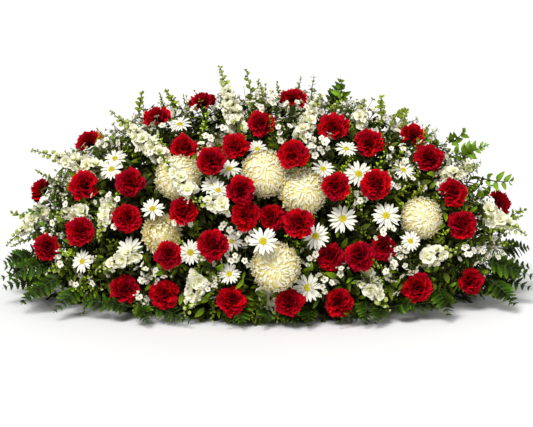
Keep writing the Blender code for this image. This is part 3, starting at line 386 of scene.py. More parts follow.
def push_apart(one, other, towards):
    """Moves two heads half way each along the sight line until their balls are clear."""
    (p, r), (q, s) = one["balls"], other["balls"]
    between = q[None] - p[:, None]
    wanted = (r[:, None] + s[None] + CLEARANCE) ** 2
    square = (between ** 2).sum(axis=2)
    if not (square < wanted).any():
        return False
    depth = between @ towards
    side = square - depth * depth
    lack = np.where(square < wanted, np.sqrt(np.maximum(wanted - side, 0)) - np.abs(depth), 0)
    worst = np.unravel_index(lack.argmax(), lack.shape)
    behind, nearer = (one, other) if depth[worst] >= 0 else (other, one)
    whole = lack[worst] + SETTLE_SLACK
    back = min(whole / 2, behind["give"])
    behind["give"] -= back
    move(behind, -back * towards)
    move(nearer, (whole - back) * towards)
    return True


def move(head, shift):
    """Moves a head, and with it the balls that it takes up."""
    head.update({key: head[key] + shift for key in ("centre", "tip") if key in head})
    head["balls"] = (head["balls"][0] + shift, head["balls"][1])


def round_head(spray, row, side, rng):
    """A bloom that faces out of the dome, turned partly to the viewer."""
    across_mm, up_mm, diameter, lift, facing = row
    towards = sight(side)[2]
    centre = on_dome(across_mm, up_mm, side)
    axis = unit(outward(centre) * (1 - facing) + towards * facing)
    centre = centre + towards * lift * MM
    radius = diameter / 2 * MM
    return {"spray": spray, "centre": centre, "axis": axis, "radius": radius,
            "turn": rng.uniform(0, math.tau), "give": max(GIVE - radius * 0.7, 0.0),
            "back": radius * (DAISY_CALYX_DEPTH if spray.startswith("daisy") else CALYX_DEPTH),
            "balls": (np.array([centre]), np.array([radius]))}


def long_head(spray, row, side, rng, room=None):
    """A spike or sprig that stands from a base near the dome out to its tip."""
    tip_across, tip_up, grow, base_across, base_up, radius, *pairs = row
    tip = on_dome(tip_across, tip_up, side, grow)
    base = on_dome(base_across, base_up, side, SPIKE_BASE)
    reach = radius * MM
    beaded = beads([base, tip])
    return {"spray": spray, "centre": base, "tip": tip, "axis": unit(tip - base), "radius": reach,
            "turn": rng.uniform(0, math.tau), "give": GIVE / 2, "pairs": pairs[0] if pairs else 0,
            "back": SPRIG_BACK if room else reach * CALYX_DEPTH,
            "balls": (beaded, np.full(len(beaded), (room or reach) + 0.001))}


def find_room(stalk, owner, space):
    """Moves a sprig along the line of sight until it is clear of what stands there."""
    centres, radii = stalk["balls"]
    for shift_mm in ROOM_SHIFTS:
        shift = sight(1)[2] * shift_mm * MM
        if space.clash(centres + shift, radii, owner) <= 0:
            break
    move(stalk, shift)


def root_for(fork_point):
    """Where in the foam a stem from this fork ends."""
    x, y = (np.clip(fork_point[k] * ROOT_SHARES[k], -ROOT_LIMITS[k], ROOT_LIMITS[k]) for k in (0, 1))
    floor_height, gain, least, most = ROOT_HEIGHTS
    return np.array([x, y, np.clip(floor_height + gain * fork_point[2], least, most)])


def branch_path(head, fork_point):
    """From the narrow end of a calyx, or the foot of a spike, to the fork, bent round the dome."""
    start = head["centre"] - head["axis"] * head["back"]
    bends = int(np.linalg.norm(fork_point - start) / BEND_EVERY)
    path = [start]
    for i in range(bends):
        between = start + (fork_point - start) * (i + 1) / (bends + 1)
        path.append(at_inset(between, FORK_INSETS[0]))
    return path + [fork_point]


def fork_places(middle):
    """Places for a fork round the middle of a spray, nearest first, at every depth that is tried."""
    first, second = basis(outward(middle))
    for spread_by in FORK_SPREADS:
        for turn in range(FORK_TURNS if spread_by else 1):
            angle = math.tau * turn / FORK_TURNS
            shifted = middle + spread_by * (first * math.cos(angle) + second * math.sin(angle))
            for inset in FORK_INSETS:
                place = at_inset(shifted, inset)
                place[2] = max(place[2], FORK_LEAST_HEIGHT)
                yield place


def find_fork(heads, owner, space):
    """The first fork and root whose stems pass clear of all others, or else the nearest to that."""
    best = None
    for fork_point in fork_places(np.mean([h["centre"] for h in heads], axis=0)):
        root = root_for(fork_point)
        worst = space.clash(beads([fork_point, root]), TRUNK_RADIUS, owner)
        for head in heads:
            path = beads(branch_path(head, fork_point))
            worst = max(worst, space.clash(path[1:], STEM_RADIUS, owner))
        if best is None or worst < best[0]:
            best = (worst, fork_point, root)
        if worst <= 0:
            break
    return best[1:]


def fern_root(fan_point, owner, space):
    """Where a fan of fronds stands in the foam's side, moved along until its stem is clear."""
    best = None
    for shift in FERN_ROOT_SHIFTS:
        root = np.array([fan_point[0] * ROOT_SHARES[0] + shift, fan_point[1] * ROOT_SHARES[1],
                         FERN_ROOT_HEIGHT])
        worst = space.clash(beads([fan_point, root]), TRUNK_RADIUS, owner)
        if best is None or worst < best[0]:
            best = (worst, root)
    return best[1]


def grow_spray(heads, owner, space):
    """Gives each head of one spray its path; the first head's stem is the trunk."""
    fork_point, root = find_fork(heads, owner, space)
    down = unit(root - fork_point)
    for i, head in enumerate(heads):
        path = branch_path(head, fork_point)
        head["trunk"] = i == 0 and len(heads) > 1
        head["path"] = path + [root] if i == 0 else path[:-1] + [fork_point + down * FORK_OVERLAP]
        space.take(beads(head["path"]), TRUNK_RADIUS if head["trunk"] else STEM_RADIUS, owner)


def bed_places():
    """Points on the bed, row by row, at even steps round each row."""
    places = []
    for i, height in enumerate(BED_TIP_ROWS):
        axes = DOME - BED_OUTER - BED_TIP_ROOT
        reach = math.sqrt(max(1 - ((height - DOME_CENTRE[2]) / axes[2]) ** 2, 0))
        angle = np.linspace(0, math.tau, EVEN_TURNS)
        loop = np.stack([axes[0] * reach * np.cos(angle), axes[1] * reach * np.sin(angle),
                         np.full(EVEN_TURNS, height)], axis=1)
        run = np.concatenate([[0], np.linalg.norm(np.diff(loop, axis=0), axis=1).cumsum()])
        count = max(1, round(run[-1] / BED_TIP_STEP))
        wanted = (np.arange(count) + 0.5 * (i % 2)) * run[-1] / count
        places += list(np.stack([np.interp(wanted, run, loop[:, k]) for k in range(3)], axis=1))
    return places


def tip_beads(middle, normal, reach, rise, angle):
    """Beads along the four ribs and the eight edges of a leafy tip, which has four points."""
    first, second = basis(normal, angle)
    rim = []
    for k in range(8):
        far, up = (reach, rise) if k % 2 == 0 else (reach * BED_TIP_WAIST, 0.0)
        at = k * math.tau / 8
        rim.append(middle + far * (math.cos(at) * first + math.sin(at) * second) + up * normal)
    peak = middle + normal * BED_TIP_PEAK
    ribs = np.vstack([beads([peak, point]) for point in rim[::2]])
    return ribs, np.vstack([beads([rim[k - 1], rim[k]]) for k in range(8)])


def bed_tips(space, owner, rng):
    """The bed's leafy tips as (middle, normal, reach, rise, angle), where nothing is in their way."""
    tips = []
    for i, root in enumerate(bed_places()):
        normal = unit((root - DOME_CENTRE) / DOME**2)
        middle, turn = root + normal * BED_TIP_STALK, rng.uniform(0, math.tau)
        for reach, rise, angle in [(*form, turn + k * math.tau / 4 / BED_TIP_TURNS)
                                   for form in BED_TIP_FORMS for k in range(BED_TIP_TURNS)]:
            ribs, edges = tip_beads(middle, normal, reach, rise, angle)
            if (edges[:, 2].min() > BED_TIP_FLOOR
                    and space.clash(ribs, BED_TIP_RIB, owner, BED_TIP_GAP) <= 0
                    and space.clash(edges, BED_TIP_EDGE, owner, BED_TIP_GAP) <= 0):
                space.take(ribs, BED_TIP_EDGE, owner + 1000 + i)
                tips.append((middle, normal, reach, rise, angle))
                break
    return tips


def bloom_sprays(rng):
    """The heads of every spray of blooms by its name, those seen from one side drawn apart."""
    heads, sides = {}, {}
    for kind, front, back in (("mum", MUMS, BACK_MUMS), ("carnation", CARNATIONS, BACK_CARNATIONS),
                              ("spike", SPIKES, BACK_SPIKES), ("daisy", DAISIES, BACK_DAISIES)):
        make = long_head if kind == "spike" else round_head
        for i, (side, rows) in enumerate([(1, r) for r in front] + [(-1, r) for r in back]):
            name = f"{kind}_{i + 1:02d}"
            heads[name], sides[name] = [make(name, row, side, rng) for row in rows], side
    for side in (1, -1):
        settle([h for name in heads if sides[name] == side for h in heads[name]], sight(side)[2])
    return heads


def bed_legs(space, owner):
    """The bed's legs, from the middle of its shell down into the foam."""
    legs = []
    for x, y in BED_LEGS:
        foot = np.array([x, y, BED_LEG_FOOT])
        top = at_inset(np.array([*(BED_LEG_SPLAY * [x, y]), BED_LEG_TOP]), (BED_OUTER + BED_INNER) / 2)
        legs.append([top, foot])
        space.take(beads([top, foot]), LEG_RADIUS, owner)
    return legs


def fern_fans(space, owner):
    """Each frond as the fan's foot, the leaflets' start, the tip and half the width; and trunks."""
    fronds, trunks = [], []
    for i, (fan, rows) in enumerate(FERNS.values()):
        fan_point = np.array(fan) * MM
        root = fern_root(fan_point, owner + i, space)
        for *tip, half_width in rows:
            tip = np.array(tip) * MM
            first = fan_point + (tip - fan_point) * FERN_STALK
            fronds.append((fan_point, first, tip, half_width * MM))
            space.take(beads([fan_point, first]), STEM_RADIUS, owner + i)
            space.take(beads([first, tip])[3:], FERN_RIB, owner + i)
        space.take(beads([fan_point, root]), TRUNK_RADIUS, owner + i)
        trunks.append([fan_point, root])
    return fronds, trunks


@functools.cache
def layout():
    """Every bloom, sprig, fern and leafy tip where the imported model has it."""
    rng, space = random.Random(41), Space()
    heads = bloom_sprays(rng)
    bed_owner = len(heads)
    legs = bed_legs(space, bed_owner)
    for owner, group in enumerate(heads.values()):
        for head in group:
            space.take(*head["balls"], owner)
    for owner, group in enumerate(heads.values()):
        grow_spray(group, owner, space)
    for owner, (name, rows) in enumerate(SPRIGS.items(), bed_owner + 1):
        heads[name] = [long_head(name, row, 1, rng, SPRIG_ROOM) for row in rows]
        for stalk in heads[name]:
            find_room(stalk, owner, space)
            space.take(*stalk["balls"], owner)
        grow_spray(heads[name], owner, space)
    fronds, trunks = fern_fans(space, bed_owner + 1 + len(SPRIGS))
    for name, i, shift in SHIFTED_HEADS:
        head, shift = heads[name][i], np.array(shift) * MM
        move(head, shift)
        head["path"] = [head["path"][0] + shift] + list(head["path"][1:])
    return {"heads": heads, "legs": legs, "fronds": fronds, "trunks": trunks,
            "tips": bed_tips(space, bed_owner, rng)}


def heads_of(*kinds):
    """All heads whose node's name starts with one of these kinds."""
    return [h for name, group in layout()["heads"].items() if name.startswith(kinds) for h in group]


class Bunch:
    """Sheets and tubes gathered into one mesh, with a tint for each, and its place along and across."""

    def __init__(self):
        self.points, self.faces, self.values, self.count = [], [], [], 0

    def sheets(self, grid, tint, closed=False, along=(0.0, 1.0)):
        """Adds n grids of points (n, rows, columns, 3) as four-sided faces whose normal is the way
        along the columns crossed with the way along the rows; a closed grid joins its last column
        to its first."""
        n, rows, columns, _ = grid.shape
        number = self.count + np.arange(n * rows * columns).reshape(n, rows, columns)
        right = np.roll(number, -1, axis=2) if closed else number[:, :, 1:]
        left = number if closed else number[:, :, :-1]
        faces = np.stack([left[:, :-1], right[:, :-1], right[:, 1:], left[:, 1:]], axis=-1)
        self.faces.append(faces.reshape(-1, 4))
        self.points.append(grid.reshape(-1, 3))
        values = np.empty((n, rows, columns, 3))
        values[..., 0] = np.broadcast_to(tint, n)[:, None, None]
        values[..., 1] = np.linspace(*along, rows)[None, :, None]
        values[..., 2] = np.linspace(-1, 1, columns)[None, None, :]
        self.values.append(values.reshape(-1, 3))
        self.count += n * rows * columns

    def finish(self, name, finish, slot, *kinds):
        """Makes the object, gives it a material and its place in the frame, where it replaces the
        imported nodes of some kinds."""
        points, faces = np.concatenate(self.points), np.concatenate(self.faces)
        points[:, 2] = np.maximum(points[:, 2], FLOOR_GAP)  # what droops further lies on the floor
        values = np.concatenate(self.values)
        mesh = bpy.data.meshes.new(name)
        mesh.vertices.add(len(points))
        mesh.vertices.foreach_set("co", points.astype(np.float32).ravel())
        mesh.loops.add(faces.size)
        mesh.loops.foreach_set("vertex_index", faces.astype(np.int32).ravel())
        mesh.polygons.add(len(faces))
        mesh.polygons.foreach_set("loop_start", np.arange(0, faces.size, 4, dtype=np.int32))
        mesh.update(calc_edges=True)
        mesh.polygons.foreach_set("use_smooth", np.full(len(faces), True))
        for k, key in enumerate(("tint", "along", "across")):
            layer = mesh.attributes.new(key, "FLOAT", "POINT")
            layer.data.foreach_set("value", values[:, k].astype(np.float32))
        mesh.materials.append(plant(finish) if finish in PLANT_FINISHES else moulded(finish))
        made = bpy.data.objects.new(name, mesh)
        bpy.context.scene.collection.objects.link(made)
        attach(made, "root")
        replaced = [node_name for node_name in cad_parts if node_name.startswith(kinds)]
        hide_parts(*replaced)


def many(vector, n):
    """The vector as n rows."""
    return np.repeat([vector], n, axis=0)


def pairs_of(out, up):
    """Points in petals' own planes as rows of out and up."""
    return np.stack(np.broadcast_arrays(out, up), axis=1)


def square_to(out, up):
    """The part of each up that is square to its out, with length 1."""
    return unit(up - out * (out * up).sum(axis=1, keepdims=True))


def spread(axes, angles):
    """For each axis (n, 3), the direction across it at an angle."""
    helper = np.where(np.abs(axes[:, 2:]) < 0.9, [[0, 0, 1.0]], [[1.0, 0, 0]])
    first = unit(np.cross(helper, axes))
    return first * np.cos(angles)[:, None] + np.cross(axes, first) * np.sin(angles)[:, None]


def oval(start, span, skew, blunt):
    """A leaf's outline: the sine of pi times (start + span v^skew), to the power blunt."""
    return lambda v: np.sin(math.pi * (start + span * v ** skew)) ** blunt


def profile(places, widths):
    """An outline that runs straight from each width to the next."""
    return lambda v: np.interp(v, places, widths)


def petals(origin, out, up, size, base, bend, tip, half, outline, rows=5, columns=3, start=0.0,
           bow=0.0, round_end=0.0, teeth=0.0, ruffle=None, sway=0.0):
    """Grids of n petals or leaves. Each follows a line in its own plane of out and up: the
    quadratic curve from base by bend to tip. A point at u across and v along stands half times
    outline(v) times u beside that line, and bow times u squared plus ruffle(u, v) off it; the end
    is shortened by round_end times u squared, and by teeth in every other column, and the whole
    swings aside by sway times v squared. All in sizes."""
    n = len(origin)
    u = np.linspace(-1, 1, columns)[None, None, :]
    v = np.linspace(start, 1, rows)[None, :, None]
    short = 1 - round_end * u ** 2 - teeth * (np.arange(columns) % 2)[None, None, :]
    v = v * np.broadcast_to(short, (n, 1, columns))
    size, half, bow, sway = (np.broadcast_to(each, n)[:, None, None] for each in (size, half, bow, sway))
    a, b, c = (np.broadcast_to(np.asarray(p, float), (n, 2))[:, None, None, :] for p in (base, bend, tip))
    w = v[..., None]
    line = (1 - w) ** 2 * a + 2 * w * (1 - w) * b + w ** 2 * c
    slope = unit(2 * (1 - w) * (b - a) + 2 * w * (c - b) + 1e-9)
    off = bow * u ** 2 * np.minimum(1.0, 3 * v) + (0 if ruffle is None else ruffle(u, v))
    x = (half * outline(v) * u + sway * v ** 2) * size
    y = (line[..., 0] - slope[..., 1] * off) * size
    z = (line[..., 1] + slope[..., 0] * off) * size
    side = np.cross(out, up)
    return (origin[:, None, None] + x[..., None] * side[:, None, None]
            + y[..., None] * out[:, None, None] + z[..., None] * up[:, None, None])


def tubes(bunch, path, radii, tint=0.5, sides=6, steps=0):
    """Adds one round tube along a path: rings of the radii given, square to the path, untwisted;
    with steps the path is first drawn as a smooth curve through its points."""
    path, radii = np.array(path, float), np.array(radii, float)
    if steps:
        knots = np.linspace(0, 1, len(path))
        fine = np.linspace(0, 1, steps)
        radii = np.interp(fine, knots, radii)
        soft = np.stack([np.interp(fine, knots, path[:, k]) for k in range(3)], axis=1)
        for _ in range(2):
            soft[1:-1] = (soft[:-2] + 2 * soft[1:-1] + soft[2:]) / 4
        path = soft
    axis = unit(np.gradient(path, axis=0))
    first = unit(np.cross(axis, [0.31, 0.83, 0.46]))  # a direction that no stem here runs in
    second = np.cross(axis, first)
    angle = np.arange(sides) * math.tau / sides
    around = np.cos(angle)[None, :, None] * first[:, None] + np.sin(angle)[None, :, None] * second[:, None]
    grid = path[:, None] + radii[:, None, None] * around
    bunch.sheets(grid[None], tint, closed=True)


def repeated(heads, count):
    """Centre, axis, radius and turn of each head, repeated for its petals, and the petals' numbers."""
    pick = np.repeat(np.arange(len(heads)), count)
    centre, axis, radius, turn = (np.array([h[key] for h in heads])[pick]
                                  for key in ("centre", "axis", "radius", "turn"))
    return pick, centre, axis, radius, turn, np.tile(np.arange(count), len(heads))


def hearts(bunch, heads, wide, rise, tall, along):
    """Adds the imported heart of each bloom, which shows where petals part: a closed ball round the
    bloom's axis, wide times sin(p) out and rise plus tall times cos(p) up at polar angle p, in radii."""
    polar = np.linspace(2.5, 0.01, 9)[:, None, None]
    angle = np.arange(12) * math.tau / 12
    for head in heads:
        first, second = basis(head["axis"])
        around = np.cos(angle)[:, None] * first + np.sin(angle)[:, None] * second
        grid = head["centre"] + head["radius"] * (wide * np.sin(polar) * around[None]
                                                  + (rise + tall * np.cos(polar)) * head["axis"])
        bunch.sheets(grid[None], 0.5, closed=True, along=along)


def linear(hexed):
    """A colour as four linear values from its sRGB hex digits."""
    parts = [int(hexed[i:i + 2], 16) / 255 for i in (0, 2, 4)]
    return [p / 12.92 if p <= 0.04045 else ((p + 0.055) / 1.055) ** 2.4 for p in parts] + [1.0]


def tone(key):
    """A colour that a user may change, by its name, or a fixed one, by its hex digits."""
    return getattr(colours(), key) if hasattr(colours(), key) else linear(key)


# Finishes of petals, leaves and stems: colours from foot to tip, the roughness, and how much each
# one's tint changes its lightness and hue; then the size and depth of its veins, its rib and its
# gloss where they differ from plant's own. Real veins run some 0.3 mm apart, too fine to show, so
# they are drawn as coarse as about 1 mm.
STALK = {"stops": [(0, "stem"), (1, "stem")], "roughness": 0.6, "tint_range": 0.1}
PLANT_FINISHES = {
    # Fresh carnation petals: thin, matt and faintly velvety. Their feet, and the hearts that take the start
    # of this ramp, are painted near black as the shade in the folds.
    "carnation_petal_velvet": {
        "stops": [(0, "red_deep"), (0.35, "4A0006"), (0.72, "red"), (1, "red_edge")],
        "roughness": 0.75, "tint_range": 0.45, "tint_hue": 0.004, "vein_mm": 0.9, "specular": 0.04},
    # Chrysanthemum petals: waxy cream. Their feet are yellower and a little darker, partly the petals' own
    # colour and partly painted shade where they crowd together.
    "chrysanthemum_petal_waxy": {
        "stops": [(0, "cream_deep"), (0.45, "F2E6A6"), (0.65, "cream"), (1, "FBF8E8")],
        "roughness": 0.6, "tint_range": 0.10, "tint_hue": 0.004, "vein_depth": 0.12, "specular": 0.1},
    # Daisy petals: clean white with a faint green foot.
    "daisy_petal_white": {
        "stops": [(0, "DDE0B8"), (0.3, "white"), (1, "white")], "roughness": 0.6, "tint_range": 0.05,
        "tint_hue": 0.0, "vein_mm": 1.0, "vein_depth": 0.12, "specular": 0.15},
    # Daisy discs: packed pollen-yellow florets, dry and crumbly, browner at the rim.
    "daisy_disc_pollen": {
        "stops": [(0, "B9A41C"), (0.35, "disc"), (1, "B08A12")], "roughness": 0.8, "tint_range": 0.1,
        "tint_hue": 0.01, "vein_mm": 0.8, "vein_depth": 0.8},
    # Stock and snapdragon florets: soft warm white that turns lime in the throat.
    "stock_floret_white": {
        "stops": [(0, "B6C24A"), (0.3, "ECE9C0"), (1, "F8F6E6")], "roughness": 0.6, "tint_range": 0.08,
        "tint_hue": 0.004, "vein_mm": 1.0, "vein_depth": 0.12, "specular": 0.15},
    # Closed spike buds: fresh lime green with a pale tip, smooth and slightly waxy.
    "spike_bud_lime": {
        "stops": [(0, "stem"), (0.5, "lime"), (1, "D6DDA6")], "roughness": 0.5, "tint_range": 0.15,
        "tint_hue": 0.01, "vein_mm": 1.0, "vein_depth": 0.12},
    # Waxflower petals: glossy off-white round a tan cup.
    "waxflower_petal": {
        "stops": [(0, "C4AC68"), (0.22, "E8E2C4"), (0.45, "F1EDDC"), (1, "F3F0E2")], "roughness": 0.42,
        "tint_range": 0.05, "tint_hue": 0.004, "vein_mm": 0.8, "vein_depth": 0.1},
    # Waxflower buds: smooth green cups that pale to straw at the tip.
    "waxflower_bud": {
        "stops": [(0, "stem"), (0.5, "B9B884"), (1, "E0D6B0")], "roughness": 0.45, "tint_range": 0.15,
        "tint_hue": 0.01, "vein_mm": 0.8, "vein_depth": 0.1},
    # Eucalyptus: thin leaves, olive at the foot and pale yellow-green at the tip, waxy and dull.
    "eucalyptus_leaf_waxy": {
        "stops": [(0, "4A5C0E"), (1, "sprig")], "roughness": 0.5, "tint_range": 0.6, "tint_hue": 0.015,
        "rib": "8A9A48"},
    # Ruscus: firm fresh-green leaves with a soft gloss and a paler rib.
    "ruscus_leaf_glossy": {
        "stops": [(0, "568812"), (1, "8CB824")], "roughness": 0.40, "tint_range": 0.4, "rib": "94B048",
        "specular": 0.18},
    # Leatherleaf fern: deep green, leathery, with a low gloss. Each leaflet is painted near black at its foot
    # by the rib, as shade, and grows lighter towards its tip.
    "leatherleaf_fern": {
        "stops": [(0, "0A1400"), (0.6, "fern"), (1, "5E780C")], "roughness": 0.5, "tint_range": 0.75,
        "rib": "34500F", "specular": 0.08},
    # Fern ribs: dark olive with a slight sheen.
    "fern_rib": {"stops": [(0, "38401A"), (1, "3A4E18")], "roughness": 0.5, "tint_range": 0.1},
    # Small filler leaves: leathery and yellow-green towards the tips. Painted shade makes them near black at
    # their feet and darker the deeper they lie; their tint also varies at random.
    "filler_leaf": {
        "stops": [(0, "leaf_dark"), (1, "leaf_light")], "roughness": 0.48, "tint_range": 0.85,
        "tint_hue": 0.016, "rib": "586C16", "specular": 0.14},
    # Salal: broad leathery leaves in the same greens, a little glossier, with a clear rib, and painted near
    # black at their feet as shade.
    "salal_leaf_glossy": {
        "stops": [(0, "leaf_dark"), (1, "leaf_light")], "roughness": 0.38, "tint_range": 0.7,
        "tint_hue": 0.015, "rib": "5E7218", "specular": 0.16},
    # Fine filler greens: thin olive to yellow-green leaves, palest at the tips.
    "filler_sprig_leaf": {
        "stops": [(0, "2A3A06"), (1, "BED01E")], "roughness": 0.5, "tint_range": 0.85,
        "tint_hue": 0.02, "rib": "8A9444", "specular": 0.14},
    # Cut flower stems: fresh green with a soft sheen, painted darker down in the spray as shade.
    "flower_stem": {
        "stops": [(0, "stem"), (1, "2A340E")], "roughness": 0.55, "tint_range": 0.2, "vein_mm": 1.5},
    # Calyxes: green cups that pale towards the petals.
    "calyx_green": {"stops": [(0, "stem"), (1, "7E9A52")], "roughness": 0.5, "tint_range": 0.2},
    # Thin stalks of waxflowers, sprigs and filler: plain matt stem green.
    "waxflower_stalk": STALK,
    "sprig_stalk": STALK,
    "filler_stalk": STALK,
}
# Moulded, cut and packed matter: two near colours, roughness, size of the grain in millimetres, its
# depth and gloss. The foam's real cells are about 0.3 mm, too fine to show, and are drawn coarser.
MOULDED_FINISHES = {
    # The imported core: shaded moss and cut greens, close to black between the leaves.
    "packed_greens_shade": ("050702", "0F1505", 0.9, 4.0, 0.9, 0.1),
    # Wet floral foam: dull, finely open-celled, darker where it is soaked.
    "wet_floral_foam": ("1F4429", "foam", 0.92, 1.2, 0.6, 0.2),
    # Moulded polypropylene: dark green-black with a soft sheen and a faint grain.
    "moulded_polypropylene": ("tray", "1D2A22", 0.42, 1.5, 0.08, 0.5),
}


def node(tree, kind, settings=None, links=None, stops=()):
    """Adds a shader node with its settings (properties or input values), its links (input: output)
    and, on a colour ramp, its stops (place, colour)."""
    made = tree.nodes.new(kind)
    for key, value in (settings or {}).items():
        if isinstance(key, int) or key in made.inputs:
            made.inputs[key].default_value = value
        else:
            setattr(made, key, value)
    for key, source in (links or {}).items():
        tree.links.new(source, made.inputs[key])
    if stops:
        band = made.color_ramp.elements
        while len(band) < len(stops):
            band.new(0.5)
        for element, (place, colour) in zip(band, stops):
            element.position, element.color = place, tone(colour)
    return made


def grained(name, roughness, change, grain_mm, detail, depth, distance, specular):
    """A new material with grain of a real size that changes its roughness and gives it bump; the
    tree, its shader's colour socket and the grain are for the colour."""
    made = bpy.data.materials.new(name)
    made.use_nodes = True
    tree = made.node_tree
    shader = tree.nodes["Principled BSDF"]
    shader.inputs["Specular IOR Level"].default_value = specular
    place = node(tree, "ShaderNodeTexCoord").outputs["Object"]
    grain = node(tree, "ShaderNodeTexNoise", {"Scale": 1 / (grain_mm * MM), "Detail": detail},
                 {"Vector": place}).outputs["Fac"]
    rough = node(tree, "ShaderNodeMapRange", {"To Min": roughness - change, "To Max": roughness + change},
                 {"Value": grain})
    tree.links.new(rough.outputs[0], shader.inputs["Roughness"])
    bump = node(tree, "ShaderNodeBump", {"Strength": depth, "Distance": distance}, {"Height": grain})
    tree.links.new(bump.outputs[0], shader.inputs["Normal"])
    return made, tree, shader.inputs["Base Color"], grain


def plant(name):
    """A petal, leaf or stem skin: colour along its length from the stops, each one a little lighter
    or darker by its tint, fine streaks that run with it, and a lighter rib where one is given."""
    look = {"tint_hue": 0.012, "vein_mm": 1.2, "vein_depth": 0.25, "rib": None, "specular": 0.22,
            **PLANT_FINISHES[name]}
    made, tree, base_colour, grain = grained(name, look["roughness"], 0.12, look["vein_mm"], 3.0,
                                             look["vein_depth"], look["vein_mm"] * MM * 0.5,
                                             look["specular"])
    tint, along, across = (node(tree, "ShaderNodeAttribute", {"attribute_name": key}).outputs["Fac"]
                           for key in ("tint", "along", "across"))
    colour = node(tree, "ShaderNodeValToRGB", {}, {"Fac": along}, look["stops"]).outputs["Color"]
    if look["rib"]:
        middle = node(tree, "ShaderNodeMath", {"operation": "ABSOLUTE"}, {0: across}).outputs[0]
        on_rib = node(tree, "ShaderNodeMapRange", {"From Min": 0.10, "From Max": 0.34, "To Min": 0.75,
                                                   "To Max": 0.0}, {"Value": middle}).outputs[0]
        colour = node(tree, "ShaderNodeMix", {"data_type": "RGBA", 7: tone(look["rib"])},
                      {0: on_rib, 6: colour}).outputs[2]
    value, hue = (node(tree, "ShaderNodeMapRange", {"To Min": middle - change, "To Max": middle + change},
                       {"Value": tint}).outputs[0]
                  for middle, change in ((1, look["tint_range"]), (0.5, look["tint_hue"])))
    streak = node(tree, "ShaderNodeMapRange", {"From Min": 0.3, "From Max": 0.7, "To Min": 0.86,
                                               "To Max": 1.1}, {"Value": grain}).outputs[0]
    both = node(tree, "ShaderNodeMath", {"operation": "MULTIPLY"}, {0: value, 1: streak}).outputs[0]
    shaded = node(tree, "ShaderNodeHueSaturation", {}, {"Hue": hue, "Value": both, "Color": colour})
    tree.links.new(shaded.outputs[0], base_colour)
    return made


def moulded(name):
    """A moulded, cut or packed surface: two near colours mixed by its grain."""
    dark, light, roughness, grain_mm, depth, specular = MOULDED_FINISHES[name]
    made, tree, base_colour, grain = grained(name, roughness, 0.1, grain_mm, 4.0, depth,
                                             grain_mm * MM, specular)
    mixed = node(tree, "ShaderNodeValToRGB", {}, {"Fac": grain}, [(0.3, dark), (0.7, light)])
    tree.links.new(mixed.outputs["Color"], base_colour)
    return made


def colour_property(label, hexed):
    """A colour that a user may change, with its default from sRGB hex digits."""
    return FloatVectorProperty(name=label, description=f"Colour of the {label.lower()}", size=4,
                               subtype="COLOR", min=0, max=1, default=linear(hexed))


class SpraySizes(bpy.types.PropertyGroup):
    """Counts and sizes of petals, leaves and sprigs"""
    carnation_petals: IntProperty(name="Carnation Petals", description="Petals of one carnation",
                                  default=40, min=12, max=80)
    mum_petals: IntProperty(name="Chrysanthemum Petals", description="Petals of one chrysanthemum",
                            default=500, min=60, max=700)
    daisy_petals: IntProperty(name="Daisy Petals", description="Petals of one layer of a daisy",
                              default=10, min=6, max=24)
    bed_leaves: IntProperty(name="Bed Leaves", description="Small leaves that cover the bed",
                            default=9500, min=500, max=12000)
    filler_sprigs: IntProperty(name="Filler Sprigs", description="Fine sprigs between the blooms",
                               default=540, min=0, max=1500)
    leaf_length: FloatProperty(name="Leaf Length", description="Length of a small leaf",
                               default=0.022, min=0.010, max=0.060, unit="LENGTH")
    pinnae: IntProperty(name="Pinnae", description="Leaflets on each side of a fern frond",
                        default=7, min=6, max=30)


class SprayColours(bpy.types.PropertyGroup):
    """Colours of petals, leaves, stems, foam and tray"""
    # Painted shade: the near black at the carnation petals' feet and in their hearts.
    red_deep: colour_property("Red Petal Feet", "2A0002")
    red: colour_property("Red Petals", "98000B")
    red_edge: colour_property("Red Petal Edges", "CC0A24")
    # Cream petal feet: partly the petals' own yellow and partly painted shade between them.
    cream_deep: colour_property("Cream Petal Feet", "EFDB7C")
    cream: colour_property("Cream Petals", "F8F0C4")
    white: colour_property("White Petals", "ECEADC")
    disc: colour_property("Daisy Discs", "C8BA1E")
    lime: colour_property("Lime Buds", "B6CC38")
    # Painted shade: the near black at the feet of the bed's leaves and the salal.
    leaf_dark: colour_property("Dark Leaves", "090F00")
    leaf_light: colour_property("Light Leaves", "84A00A")
    fern: colour_property("Fern", "2C4404")
    sprig: colour_property("Sprig Leaves", "AEC22C")
    stem: colour_property("Stems", "4A5A1E")
    foam: colour_property("Floral Foam", "2E5A38")
    tray: colour_property("Tray", "16201A")


def sizes():
    """The sizes and counts that a user may change."""
    return bpy.context.scene.casket_spray_sizes


def colours():
    """The colours that a user may change."""
    return bpy.context.scene.casket_spray_colours


